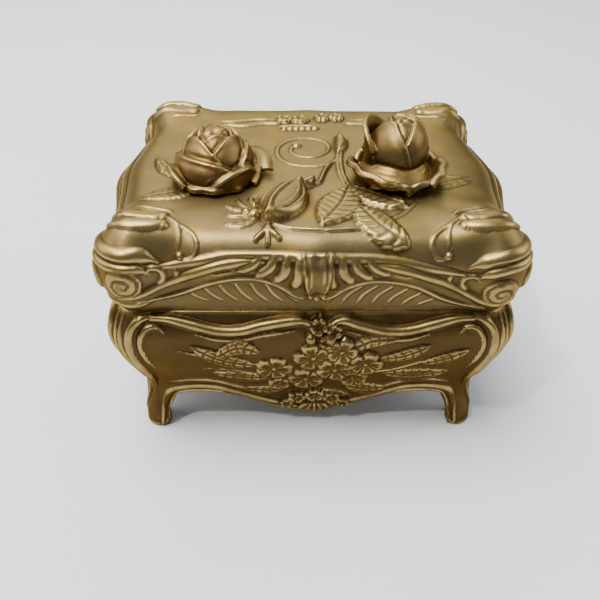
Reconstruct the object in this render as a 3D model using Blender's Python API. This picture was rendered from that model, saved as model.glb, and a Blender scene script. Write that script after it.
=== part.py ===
"""Hinged trinket casket: a cast bombe box on four integral feet, with a domed cast lid and two applied roses.

Frame: origin on the table under the middle of the box, +X to the viewer's right, +Y to the back, +Z up.
Every length is in metres. The walls are described by stations round a rounded rectangle, and each
surface is that rectangle moved outwards by an offset that depends on the station and on the height.
"""

import math

import bmesh
import bpy
from mathutils import Vector

MM = 0.001

# Driving dimensions
RIM_HALF_X = 71.0 * MM
RIM_HALF_Y = 58.0 * MM
CORNER_R = 8.0 * MM
LEAST_CORNER_R = 1.5 * MM
BODY_RIM_Z = 65.5 * MM
LID_RIM_Z = 65.9 * MM
WALL = 2.6 * MM
LEDGE_WALL = 4.8 * MM
LEDGE_Z = 25.4 * MM
GAP = 0.3 * MM

# Stations: distances from the middle of a face to its corner arc
FACE_X = [v * MM for v in (0, 4, 8, 14, 21, 29, 37, 44, 50, 54.5, 58, 60.5)]
FACE_Y = [v * MM for v in (0, 7, 14, 21, 28, 34, 39, 43.5, 47)]
ARC_STEPS = 6

# Apron: how high the lower edge of each wall stands, from the middle of the face to the leg
APRON_DROP_Z = 7.0 * MM
APRON_ARCH_Z = 21.0 * MM
ARCH_AT_X, LEG_AT_X = 44.0 * MM, 60.0 * MM
ARCH_AT_Y, LEG_AT_Y = 33.0 * MM, 46.5 * MM

# (height, outward offset) of the body wall in mm, at the middle of a face and at a corner
BODY_FACE = ((0, -4), (7, -4), (18, -3.2), (28, -0.8), (38, 2.6), (48, 5), (56, 4.6), (62, 2), (65.5, 0))
BODY_CORNER = (
    (0, -1.6), (4, 0), (8, -1.8), (14, -5), (18, -5.4), (26, -3.2),
    (36, 1.4), (46, 4.8), (54, 5.6), (61, 3.4), (65.5, 0.4),
)
BODY_OUTER_LEVELS = (0, 0.05, 0.1, 0.16, 0.23, 0.31, 0.42, 0.54, 0.66, 0.78, 0.88, 0.95, 1)
BODY_INNER_Z = [v * MM for v in (65.5, 58, 49, 40, 32)]
LEG_INNER_LEVELS = (0.6, 0.3, 0)

# (height, offset, height, offset) in mm of each level of the lid's skirt: first on a face, then at a corner knob
LID_SKIRT = (
    (65.9, 0.0, 65.9, 0.8),
    (69.0, 0.4, 69.5, 3.0),
    (73.0, 0.7, 74.0, 4.8),
    (77.0, 1.2, 79.0, 5.8),
    (80.0, 2.4, 84.5, 5.9),
    (84.0, 3.4, 89.5, 4.8),
    (88.0, 2.6, 93.5, 2.4),
    (90.3, 0.8, 96.6, -1.0),
)
# (share of the half width, height on a face, height towards a corner) of the lid's nearly flat top
LID_DOME = (
    (0.985, 92.6, 98.4),
    (0.95, 94.9, 99.7),
    (0.90, 96.1, 99.6),
    (0.80, 96.7, 98.0),
    (0.60, 96.9, 97.0),
    (0.30, 97.0, 97.0),
)
LID_TOP_Z = 97.0 * MM
LID_INNER = (
    (65.9, -2.6, 65.9, -2.6),
    (75.0, -2.2, 75.0, -2.2),
    (83.0, -1.4, 85.0, -1.6),
    (87.8, -2.4, 91.0, -3.6),
)
LID_SHELL = 2.8 * MM
KNOB_REACH = 10.5 * MM
EAR_REACH = 17.0 * MM
NECK_DEPTH_FRONT, NECK_DEPTH_SIDE, NECK_AT, NECK_WIDTH = 1.0 * MM, 3.2 * MM, 15.0 * MM, 6.5 * MM
CLASP_OUT, CLASP_HALF = 2.4 * MM, 7.0 * MM
SIDE_BULGE_OUT, SIDE_BULGE_HALF = 4.2 * MM, 26.0 * MM

# Hinge
HINGE_X = 34.0 * MM
HINGE_Y = 60.5 * MM
HINGE_Z = 65.7 * MM
KNUCKLE_R, BORE_R, PIN_R = 1.9 * MM, 1.2 * MM, 0.9 * MM
KNUCKLE_LONG, KNUCKLE_GAP = 5.4 * MM, 0.4 * MM
LEAF_THICK, LEAF_TALL = 0.8 * MM, 7.5 * MM
LEAF_CLEAR = 2.35 * MM
PIN_HEAD_R, PIN_HEAD_LONG = 1.6 * MM, 0.8 * MM
ROUND_SIDES = 16

# Roses
ROSES = {  # name: (centre x, centre y, radius of the open petals, height, how far the bud stands back)
    "rose_left": (-37.0 * MM, -15.5 * MM, 18.0 * MM, 17.0 * MM, 5.5 * MM),
    "rose_right": (32.0 * MM, -14.0 * MM, 19.0 * MM, 20.0 * MM, 7.0 * MM),
}
STUD_R, STUD_HOLE_R = 2.0 * MM, 2.4 * MM
ROSE_SIDES, PETALS = 30, 5
# (share of the radius, share of the height, depth of the notches between petals) up a rose, from its middle out
ROSE_TIERS = (
    (0.12, 0.90, 0.0), (0.30, 1.00, 0.0), (0.44, 0.96, 0.05), (0.54, 0.78, 0.08), (0.56, 0.55, 0.08),
    (0.52, 0.42, 0.08), (0.62, 0.34, 0.10), (0.80, 0.40, 0.14), (0.95, 0.34, 0.16), (1.00, 0.20, 0.16),
    (0.90, 0.07, 0.16),
)

# Soft lining
PAD_THICK = 3.0 * MM
PAD_TOP_Z = 62.4 * MM
FLOOR_Z = 25.7 * MM
PLATE_THICK, CARD_THICK, FLOOR_PAD_THICK = 1.0 * MM, 0.8 * MM, 4.0 * MM
CORD_R = 1.2 * MM
LID_CARD_Z, LID_PAD_Z = 77.0 * MM, 71.0 * MM

GILT = ("gilt_spelter", (0.52, 0.37, 0.15), 0.38, 0.85)
BRASS = ("brass", (0.72, 0.55, 0.27), 0.35, 1.0)
STEEL = ("steel", (0.55, 0.55, 0.56), 0.3, 1.0)
TINPLATE = ("tinplate", (0.5, 0.49, 0.46), 0.45, 1.0)
SATIN = ("satin", (0.78, 0.66, 0.5), 0.5, 0.0)
BOARD = ("board", (0.55, 0.47, 0.36), 0.9, 0.0)
GIMP = ("gimp_cord", (0.62, 0.5, 0.32), 0.6, 0.0)


def smoothstep(t):
    t = max(0.0, min(1.0, t))
    return t * t * (3 - 2 * t)


def mix(a, b, t):
    return a + (b - a) * t


def table(rows, x):
    """Straight-line reading of (x, value) rows that are both in millimetres; x and the result are in metres."""
    x /= MM
    if x <= rows[0][0]:
        return rows[0][1] * MM
    for (x0, v0), (x1, v1) in zip(rows, rows[1:]):
        if x <= x1:
            return mix(v0, v1, (x - x0) / (x1 - x0)) * MM
    return rows[-1][1] * MM


class Station:
    """One place on the rim: its point on the core rectangle, its outward normal, and how near it is to a corner."""

    def __init__(self, core_x, core_y, angle, along, on_side):
        self.core = (core_x, core_y)
        self.normal = (math.cos(angle), math.sin(angle))
        self.on_side = on_side
        self.along = along
        half = RIM_HALF_Y if on_side else RIM_HALF_X
        self.to_arc = max(0.0, half - CORNER_R - abs(along))

    def point(self, offset, z):
        """The point at this station, offset outwards from the rim rectangle."""
        radius = max(CORNER_R + offset, LEAST_CORNER_R)
        pulled = max(0.0, LEAST_CORNER_R - CORNER_R - offset)
        half_x, half_y = RIM_HALF_X - CORNER_R, RIM_HALF_Y - CORNER_R
        x = self.core[0] * (half_x - pulled) / half_x
        y = self.core[1] * (half_y - pulled) / half_y
        return Vector((x + self.normal[0] * radius, y + self.normal[1] * radius, z))


def make_stations():
    """All stations, counter-clockwise from the middle of the right side."""
    half_x, half_y = RIM_HALF_X - CORNER_R, RIM_HALF_Y - CORNER_R
    quarter = [(half_x, y, 0.0, y, True) for y in FACE_Y]
    for k in range(ARC_STEPS + 1):
        angle = math.pi / 2 * k / ARC_STEPS
        quarter.append((half_x, half_y, angle, half_y if angle < math.pi / 4 else half_x, angle < math.pi / 4))
    quarter += [(x, half_y, math.pi / 2, x, False) for x in reversed(FACE_X)]
    rows = list(quarter)
    rows += [(-x, y, math.pi - a, along, side) for x, y, a, along, side in reversed(quarter[:-1])]
    rows += [(-x, -y, math.pi + a, along, side) for x, y, a, along, side in quarter[1:]]
    rows += [(x, -y, -a, along, side) for x, y, a, along, side in reversed(quarter[1:-1])]
    return [Station(*row) for row in rows]


STATIONS = make_stations()
HALF_STATIONS = STATIONS[::2]


def apron_z(station):
    """Height of the wall's lower edge: a drop in the middle, an arch each side, and the table under a leg."""
    arch_at, leg_at = (ARCH_AT_Y, LEG_AT_Y) if station.on_side else (ARCH_AT_X, LEG_AT_X)
    u = abs(station.along)
    if u <= arch_at:
        return mix(APRON_DROP_Z, APRON_ARCH_Z, smoothstep(u / arch_at))
    if u < leg_at:
        return APRON_ARCH_Z * math.sqrt(max(0.0, 1 - ((u - arch_at) / (leg_at - arch_at)) ** 4))
    return 0.0


def body_offset(station, z):
    reach = smoothstep(1 - station.to_arc / KNOB_REACH)
    return mix(table(BODY_FACE, z), table(BODY_CORNER, z), reach)


def inner_point(station, z, inset=0.0):
    """A point of the body's inner wall, or that far inside it, between the levels the wall is built on."""
    levels = sorted(BODY_INNER_Z + [LEDGE_Z])
    rows = [(level / MM, (body_offset(station, level) - WALL) / MM) for level in levels]
    return station.point(table(rows, z) - inset, z)


def lid_offset(station, level):
    """(height, outward offset) of one level of the lid's skirt at a station."""
    face_z, face_out, corner_z, corner_out = (v * MM for v in level)
    reach = smoothstep(1 - station.to_arc / KNOB_REACH)
    z, out = mix(face_z, corner_z, reach), mix(face_out, corner_out, reach)
    lip = smoothstep((face_z - 70 * MM) / (9 * MM)) * smoothstep((93 * MM - face_z) / (5 * MM))
    depth = NECK_DEPTH_SIDE if station.on_side else NECK_DEPTH_FRONT
    neck = depth * math.exp(-(((station.to_arc - NECK_AT) / NECK_WIDTH) ** 2))
    u = abs(station.along)
    if station.on_side:
        bulge = SIDE_BULGE_OUT * math.cos(math.pi / 2 * min(1.0, u / SIDE_BULGE_HALF)) ** 2
    else:
        bulge = CLASP_OUT * math.exp(-((u / CLASP_HALF) ** 2))
    return z, out + lip * (bulge - neck * (1 - reach))


def material(spec):
    name, colour, roughness, metallic = spec
    found = bpy.data.materials.get(name)
    if found:
        return found
    made = bpy.data.materials.new(name)
    made.use_nodes = True
    shader = made.node_tree.nodes["Principled BSDF"]
    shader.inputs["Base Color"].default_value = (*colour, 1)
    shader.inputs["Roughness"].default_value = roughness
    shader.inputs["Metallic"].default_value = metallic
    return made


def add(name, mesh, finish, smooth=40.0):
    obj = bpy.data.objects.new(name, mesh)
    bpy.context.scene.collection.objects.link(obj)
    mesh.materials.append(material(finish))
    mesh.shade_smooth()
    mesh.set_sharp_from_angle(angle=math.radians(smooth))
    return obj


def loft(name, loops, finish, closed=False):
    """A solid skinned over loops of equal count; closed joins the last loop to the first, else flat ends close it."""
    bm = bmesh.new()
    rings = [[bm.verts.new(p) for p in loop] for loop in loops]
    count = len(rings[0])
    pairs = list(zip(rings, rings[1:]))
    if closed:
        pairs.append((rings[-1], rings[0]))
    for low, high in pairs:
        for i in range(count):
            j = (i + 1) % count
            bm.faces.new((low[i], low[j], high[j], high[i]))
    if not closed:
        for ring in (rings[0], rings[-1]):
            middle = bm.verts.new(sum((v.co for v in ring), Vector()) / count)
            for i in range(count):
                bm.faces.new((ring[i], ring[(i + 1) % count], middle))
    bmesh.ops.recalc_face_normals(bm, faces=bm.faces)
    mesh = bpy.data.meshes.new(name)
    bm.to_mesh(mesh)
    bm.free()
    return add(name, mesh, finish)


def circle(x, y, radius, z, sides, notch=0.0):
    """A horizontal ring of points, drawn in between petals by the notch."""
    points = []
    for k in range(sides):
        angle = 2 * math.pi * k / sides
        r = radius * (1 - notch + notch * abs(math.sin(angle * PETALS / 2)))
        points.append(Vector((x + r * math.cos(angle), y + r * math.sin(angle), z)))
    return points


def along_x(name, outline, x0, x1, finish):
    """A solid of one (y, z) outline between two places along X."""
    return loft(name, [[Vector((x, y, z)) for y, z in outline] for x in (x0, x1)], finish)


def tube_along_x(name, outer, inner, x0, x1, finish):
    """A straight tube on the hinge axis."""
    turns = [2 * math.pi * (k + 0.5) / ROUND_SIDES for k in range(ROUND_SIDES)]

    def section(angle):
        c, s = math.cos(angle), math.sin(angle)
        return [
            Vector((x, HINGE_Y + r * c, HINGE_Z + r * s))
            for x, r in ((x0, outer), (x1, outer), (x1, inner), (x0, inner))
        ]

    return loft(name, [section(a) for a in turns], finish, closed=True)


def join(target, others):
    """Boolean unions applied to the target; the helpers are removed."""
    for other in others:
        change = target.modifiers.new("join", "BOOLEAN")
        change.operation, change.object, change.solver = "UNION", other, "EXACT"
    apply_modifiers(target)
    for other in others:
        bpy.data.objects.remove(other)


def cut(target, cutter):
    change = target.modifiers.new("cut", "BOOLEAN")
    change.operation, change.object, change.solver = "DIFFERENCE", cutter, "EXACT"
    apply_modifiers(target)
    bpy.data.objects.remove(cutter)


def apply_modifiers(obj):
    bpy.context.view_layer.update()
    graph = bpy.context.evaluated_depsgraph_get()
    mesh = bpy.data.meshes.new_from_object(obj.evaluated_get(graph))
    obj.modifiers.clear()
    obj.data = mesh


# ---------------------------------------------------------------- cast body

def body_section(station):
    """The wall's section at one station: up the outside, over the rim, down the inside past the floor ledge."""
    low = apron_z(station)
    points = []
    for share in BODY_OUTER_LEVELS:
        z = mix(low, BODY_RIM_Z, share)
        points.append(station.point(body_offset(station, z), z))
    for z in BODY_INNER_Z:
        points.append(station.point(body_offset(station, z) - WALL, z))
    for wall in (WALL, LEDGE_WALL):
        points.append(station.point(body_offset(station, LEDGE_Z) - wall, LEDGE_Z))
    for share in LEG_INNER_LEVELS:
        z = mix(low, LEDGE_Z, share)
        points.append(station.point(body_offset(station, z) - LEDGE_WALL, z))
    return points


def make_body():
    return loft("body_shell", [body_section(s) for s in STATIONS], GILT, closed=True)


# ---------------------------------------------------------------- cast lid

def lid_rings(skirt, dome, drop):
    rings = []
    for level in skirt:
        rings.append([s.point(*reversed(lid_offset(s, level))) for s in STATIONS])
    edge = [s.point(lid_offset(s, LID_SKIRT[-1])[1], 0) for s in STATIONS]
    for share, face_z, corner_z in dome:
        ring = []
        for station, rim in zip(STATIONS, edge):
            reach = smoothstep(1 - station.to_arc / EAR_REACH)
            z = mix(face_z, corner_z, reach) * MM - drop
            ring.append(Vector((rim.x * share, rim.y * share, z)))
        rings.append(ring)
    return rings


def inner_level(station, level):
    face_z, face_out, corner_z, corner_out = (v * MM for v in level)
    reach = smoothstep(1 - station.to_arc / KNOB_REACH)
    return mix(face_z, corner_z, reach), mix(face_out, corner_out, reach)


def make_lid():
    outer = lid_rings(LID_SKIRT, LID_DOME, 0.0)
    inner = [[s.point(*reversed(inner_level(s, level))) for s in STATIONS] for level in LID_INNER]
    inner += lid_rings((), LID_DOME[1:], LID_SHELL)
    lid = loft("lid_shell", outer[::-1] + inner, GILT)
    for x, y, _, _, _ in ROSES.values():
        cut(lid, loft("stud_cutter", [circle(x, y, STUD_HOLE_R, z, ROUND_SIDES) for z in (90 * MM, 106 * MM)], GILT))
    return lid


# ---------------------------------------------------------------- applied roses

def make_rose(name):
    """A rose as turned tiers of petals: a bud that stands back on open petals, on a stud that goes through the lid."""
    x, y, spread, height, back = ROSES[name]
    seat = LID_TOP_Z + GAP
    loops = []
    for share, up, notch in ROSE_TIERS:
        lean = back * smoothstep(up * 2 - 0.5)
        loops.append(circle(x, y + lean, spread * share, seat + height * up, ROSE_SIDES, notch))
    loops.append(circle(x, y, spread * 0.7, seat, ROSE_SIDES))
    loops.append(circle(x, y, STUD_R, seat, ROSE_SIDES))
    loops.append(circle(x, y, STUD_R, seat - LID_SHELL - 2 * MM, ROSE_SIDES))
    return loft(name, loops, GILT)


# ---------------------------------------------------------------- hinges

def wall_back_y(offset_at, z):
    return RIM_HALF_Y + offset_at(z)


def leaf_outline(offset_at, z_near, z_far, inset):
    """The leaf's (y, z) outline, lying on the wall with a gap; inset thins it from both faces."""
    heights = [mix(z_near, z_far, k / 3) for k in range(4)]
    inside = [(wall_back_y(offset_at, z) + GAP + inset, z) for z in heights]
    outside = [(wall_back_y(offset_at, z) + GAP + LEAF_THICK - inset, z) for z in reversed(heights)]
    return inside + outside


def lid_back_offset(z):
    return table([(row[0], row[1]) for row in LID_SKIRT], z)


def body_back_offset(z):
    return table(BODY_FACE, z)


def make_leaf(name, x, offset_at, direction, knuckles):
    """One hinge leaf: a plate on the wall, with a rolled knuckle at each of the given places along the pin."""
    half = 1.5 * KNUCKLE_LONG + KNUCKLE_GAP
    near, far = HINGE_Z + direction * LEAF_CLEAR, HINGE_Z + direction * (LEAF_CLEAR + LEAF_TALL)
    leaf = along_x(name, leaf_outline(offset_at, near, far, 0.0), x - half, x + half, BRASS)
    helpers = []
    for k in knuckles:
        x0 = x + (k - 0.5) * KNUCKLE_LONG + k * KNUCKLE_GAP
        x1 = x0 + KNUCKLE_LONG
        link = leaf_outline(offset_at, HINGE_Z + direction * 0.4 * MM, near + direction * 1.5 * MM, 0.06 * MM)
        helpers.append(along_x("link", link, x0 + 0.05 * MM, x1 - 0.05 * MM, BRASS))
        helpers.append(tube_along_x("knuckle", KNUCKLE_R, BORE_R, x0, x1, BRASS))
    join(leaf, helpers)
    return leaf


def make_pin(name, x):
    """The hinge pin: a steel wire with a flattened head at each end."""
    half = 1.5 * KNUCKLE_LONG + KNUCKLE_GAP + GAP
    turns = [2 * math.pi * (k + 0.5) / ROUND_SIDES for k in range(ROUND_SIDES)]
    places = (
        (-half - PIN_HEAD_LONG, PIN_HEAD_R), (-half, PIN_HEAD_R), (-half, PIN_R),
        (half, PIN_R), (half, PIN_HEAD_R), (half + PIN_HEAD_LONG, PIN_HEAD_R),
    )
    loops = [
        [Vector((x + place, HINGE_Y + r * math.cos(a), HINGE_Z + r * math.sin(a))) for a in turns]
        for place, r in places
    ]
    return loft(name, loops, STEEL)


def make_hinge(side, x):
    """The three pieces of a butt hinge; returns the one that turns with the lid."""
    make_leaf(f"hinge_body_leaf_{side}", x, body_back_offset, -1, (0,))
    make_pin(f"hinge_pin_{side}", x)
    return make_leaf(f"hinge_lid_leaf_{side}", x, lid_back_offset, 1, (-1, 1))


# ---------------------------------------------------------------- floor, lining and cords

def slab(name, rows, finish):
    """A flat piece inside the walls, from (offset from the inner wall at floor height, z) rows, bottom to top."""
    loops = []
    for inset, z in rows:
        loops.append([inner_point(s, LEDGE_Z, GAP + inset).xy.to_3d() + Vector((0, 0, z)) for s in HALF_STATIONS])
    return loft(name, loops, finish)


def make_floor():
    plate_top = FLOOR_Z + PLATE_THICK
    slab("floor_plate", [(0, FLOOR_Z), (0, plate_top)], TINPLATE)
    inside = PAD_THICK + 2 * GAP
    card_z = plate_top + GAP
    slab("floor_card", [(inside, card_z), (inside, card_z + CARD_THICK)], BOARD)
    low = card_z + CARD_THICK + GAP
    rows = (
        (inside + 0.6 * MM, low),
        (inside, low + 1.2 * MM),
        (inside + 0.3 * MM, low + 2.6 * MM),
        (inside + 2.0 * MM, low + 3.6 * MM),
        (inside + 6.0 * MM, low + FLOOR_PAD_THICK),
    )
    slab("floor_pad", rows, SATIN)


def pad_section(station):
    """Section of a wall pad: flat against the wall and crowned towards the inside."""
    low = FLOOR_Z + PLATE_THICK + GAP
    heights = [mix(low, PAD_TOP_Z, k / 5) for k in range(6)]
    outer = [inner_point(station, z, GAP) for z in heights]
    inner = []
    for k, z in reversed(list(enumerate(heights))):
        crown = PAD_THICK * (0.55 + 0.45 * math.sin(math.pi * k / 5))
        inner.append(inner_point(station, z, GAP + crown))
    return outer + inner


def arc_middle(quadrant_x, quadrant_y):
    """Index of the station at 45 degrees on the corner in that quadrant."""
    best = [s.normal[0] * quadrant_x + s.normal[1] * quadrant_y for s in STATIONS]
    return best.index(max(best))


def make_wall_pads():
    """Four pads, each from just past one corner's middle to just before the next."""
    corners = [arc_middle(1, 1), arc_middle(-1, 1), arc_middle(-1, -1), arc_middle(1, -1)]
    names = ("wall_pad_back", "wall_pad_left", "wall_pad_front", "wall_pad_right")
    for name, start, end in zip(names, corners, corners[1:] + corners[:1]):
        end += len(STATIONS) if end < start else 0
        chosen = [STATIONS[i % len(STATIONS)] for i in range(start + 1, end, 2)]
        loft(name, [pad_section(s) for s in chosen], SATIN)


def make_ring_cord(name, offset, z):
    """A trimming cord glued round the inside of a rim."""
    turns = [2 * math.pi * k / 6 for k in range(6)]
    loops = [
        [s.point(offset + CORD_R * math.cos(a), z + CORD_R * math.sin(a)) for a in turns]
        for s in HALF_STATIONS
    ]
    return loft(name, loops, GIMP, closed=True)


def make_lid_lining():
    """A card with a padded satin face, held up inside the lid's skirt."""
    inset = -WALL - 2 * GAP
    card = [[s.point(inset - step, z) for s in HALF_STATIONS]
            for step, z in ((0.0, LID_CARD_Z), (0.0, LID_CARD_Z + CARD_THICK))]
    pieces = [loft("lid_card", card, BOARD)]
    top = LID_CARD_Z - GAP
    rows = ((7.0 * MM, LID_PAD_Z), (2.5 * MM, LID_PAD_Z + 0.5 * MM), (0.4 * MM, LID_PAD_Z + 1.8 * MM),
            (0.0, LID_PAD_Z + 3.4 * MM), (0.4 * MM, top))
    pad = [[s.point(inset - step, z) for s in HALF_STATIONS] for step, z in rows]
    pieces.append(loft("lid_pad", pad, SATIN))
    return pieces


def hang_on_axis(pieces):
    """Parents the lid's pieces to an empty on the hinge axis, which turns the whole lid."""
    axis = bpy.data.objects.new("lid_axis", None)
    axis.location = (0, HINGE_Y, HINGE_Z)
    bpy.context.scene.collection.objects.link(axis)
    for piece in pieces:
        piece.parent = axis
        piece.location = -axis.location


def main():
    for obj in list(bpy.data.objects):
        bpy.data.objects.remove(obj)
    make_body()
    lid_pieces = [make_lid()]
    lid_pieces += [make_rose(name) for name in ROSES]
    lid_pieces += [make_hinge(side, x) for side, x in (("left", -HINGE_X), ("right", HINGE_X))]
    make_floor()
    make_wall_pads()
    make_ring_cord("body_rim_cord", -WALL - GAP - CORD_R, BODY_RIM_Z - CORD_R - GAP)
    lid_pieces += make_lid_lining()
    lid_pieces.append(make_ring_cord("lid_rim_cord", -WALL - GAP - CORD_R, LID_RIM_Z + CORD_R + GAP))
    hang_on_axis(lid_pieces)


main()
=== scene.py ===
"""Looks of the vanity trinket box: chased gilt castings, cast roses, silk lining, gimp cords and hinges.

Lengths in this file are in millimetres unless a name ends in _m; meshes are made in metres. The castings are
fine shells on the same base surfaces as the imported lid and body, with their ornament raised from them.
"""

import math

import bpy
import numpy as np
from mathutils import Matrix, Vector


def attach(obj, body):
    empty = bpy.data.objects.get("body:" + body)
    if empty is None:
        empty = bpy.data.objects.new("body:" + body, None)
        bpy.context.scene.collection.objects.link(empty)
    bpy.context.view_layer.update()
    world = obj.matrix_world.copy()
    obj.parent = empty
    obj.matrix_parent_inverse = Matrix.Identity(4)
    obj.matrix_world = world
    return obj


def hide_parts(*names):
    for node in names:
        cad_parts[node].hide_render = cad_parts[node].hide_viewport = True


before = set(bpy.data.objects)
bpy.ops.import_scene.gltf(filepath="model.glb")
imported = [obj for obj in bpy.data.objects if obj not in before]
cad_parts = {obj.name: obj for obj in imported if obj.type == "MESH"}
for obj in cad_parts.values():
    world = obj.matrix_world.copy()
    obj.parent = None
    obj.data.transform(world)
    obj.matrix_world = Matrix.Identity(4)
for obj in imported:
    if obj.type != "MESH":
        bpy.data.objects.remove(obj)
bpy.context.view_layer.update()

MM = 0.001

# Base surfaces of the two castings
RIM_HALF_X, RIM_HALF_Y, CORNER_R, LEAST_R = 71.0, 58.0, 8.0, 1.5
CORE_X, CORE_Y = RIM_HALF_X - CORNER_R, RIM_HALF_Y - CORNER_R
BODY_RIM_Z, LID_RIM_Z, WALL, LEDGE_WALL, LEDGE_Z = 65.5, 65.9, 2.6, 4.8, 25.4
APRON_DROP_Z, APRON_ARCH_Z = 7.0, 21.0
ARCH_AT = {False: 44.0, True: 33.0}
LEG_AT = {False: 60.0, True: 46.5}
BODY_INNER_Z = (BODY_RIM_Z, 58, 49, 40, 32, LEDGE_Z)
# Profiles of the body: (height, how far it stands out from the rim) on a face and at a corner
BODY_FACE = ((0, -4), (7, -4), (18, -3.2), (28, -0.8), (38, 2.6), (48, 5), (56, 4.6), (62, 2), (65.5, 0))
BODY_CORNER = (
    (0, -1.6), (4, 0), (8, -1.8), (14, -5), (18, -5.4), (26, -3.2),
    (36, 1.4), (46, 4.8), (54, 5.6), (61, 3.4), (65.5, 0.4),
)
# Profiles of the lid: (height, stands out) on a face, then at a corner, and the dome by share of the way out
LID_SKIRT = (
    (65.9, 0.0, 65.9, 0.8), (69.0, 0.4, 69.5, 3.0), (73.0, 0.7, 74.0, 4.8), (77.0, 1.2, 79.0, 5.8),
    (80.0, 2.4, 84.5, 5.9), (84.0, 3.4, 89.5, 4.8), (88.0, 2.6, 93.5, 2.4), (90.3, 0.8, 96.6, -1.0),
)
LID_DOME = (
    (1.0, 90.3, 96.6), (0.985, 92.6, 98.4), (0.95, 94.9, 99.7), (0.90, 96.1, 99.6), (0.80, 96.7, 98.0),
    (0.60, 96.9, 97.0), (0.0, 97.0, 97.0),
)
LID_INNER = ((65.9, -2.6, 65.9, -2.6), (75.0, -2.2, 75.0, -2.2), (83.0, -1.4, 85.0, -1.6),
             (87.8, -2.4, 91.0, -3.6))
KNOB_REACH, EAR_REACH = 10.5, 17.0
NECK_DEPTH = {False: 1.0, True: 3.2}
NECK_AT, NECK_WIDTH = 15.0, 6.5
CLASP_OUT, CLASP_HALF = 2.4, 7.0
SIDE_BULGE_OUT, SIDE_BULGE_HALF = 4.2, 26.0
LID_CEILING_Z = 93.6
HINGE_X, HINGE_Z = 34.0, 65.7
HINGE_PAD_HALF_X, HINGE_PAD_HALF_Z, HINGE_PAD_FADE = 10.0, 10.6, 2.5
LONG_DISC_AT, SHORT_DISC_AT = 65.0, 52.0  # the scrolled discs at the ends of the lid's long and short sides

# Fineness of the castings
STEP = 0.56
ARC_STEPS = 44
CORNER_ARC = 13.0
SKIRT_ROWS, BODY_ROWS = 56, 92
LID_LEAN = 0.03  # the pattern on the lid's front runs a little downhill to the right


# ---------------------------------------------------------------- small helpers

def smooth(t):
    t = np.clip(t, 0.0, 1.0)
    return t * t * (3 - 2 * t)


def mix(a, b, t):
    return a + (b - a) * t


def reading(rows, x, column=1):
    return np.interp(x, [r[0] for r in rows], [r[column] for r in rows])


def curve_through(points, spacing=0.35):
    """Evenly spaced points on a smooth curve (Catmull-Rom) through the given ones."""
    p = np.asarray(points, float)
    if len(p) == 2:
        p = np.array([p[0], (p[0] + p[1]) / 2, p[1]])
    ends = np.vstack([2 * p[0] - p[1], p, 2 * p[-1] - p[-2]])
    out = []
    for a, b, c, d in zip(ends, ends[1:], ends[2:], ends[3:]):
        t = np.linspace(0, 1, 16, endpoint=False)[:, None]
        out.append(0.5 * (2 * b + (c - a) * t + (2 * a - 5 * b + 4 * c - d) * t**2
                          + (3 * b - a - 3 * c + d) * t**3))
    out = np.vstack(out + [p[-1:]])
    run = np.concatenate([[0], np.cumsum(np.linalg.norm(np.diff(out, axis=0), axis=1))])
    count = max(3, int(run[-1] / spacing) + 1)
    at = np.linspace(0, run[-1], count)
    return np.stack([np.interp(at, run, out[:, k]) for k in range(out.shape[1])], axis=1)


def spiral(cx, cy, radius, turns, start, inner=0.12):
    """Points of a spiral from its eye outwards; a negative number of turns winds clockwise."""
    t = np.linspace(0, 1, int(14 * abs(turns)) + 4)
    r = radius * mix(inner, 1.0, t**0.85)
    a = math.radians(start) + 2 * math.pi * turns * (t - 1)
    return np.stack([cx + r * np.cos(a), cy + r * np.sin(a)], axis=1)


def on_side_of(hand, shift=0.0, lean=0.0):
    """A function that puts points drawn for the right-hand half on one side: 1 is right, -1 left."""
    return lambda points: [(shift + hand * x, y - lean * hand * x) for x, y in points]


# ---------------------------------------------------------------- raised work

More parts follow.
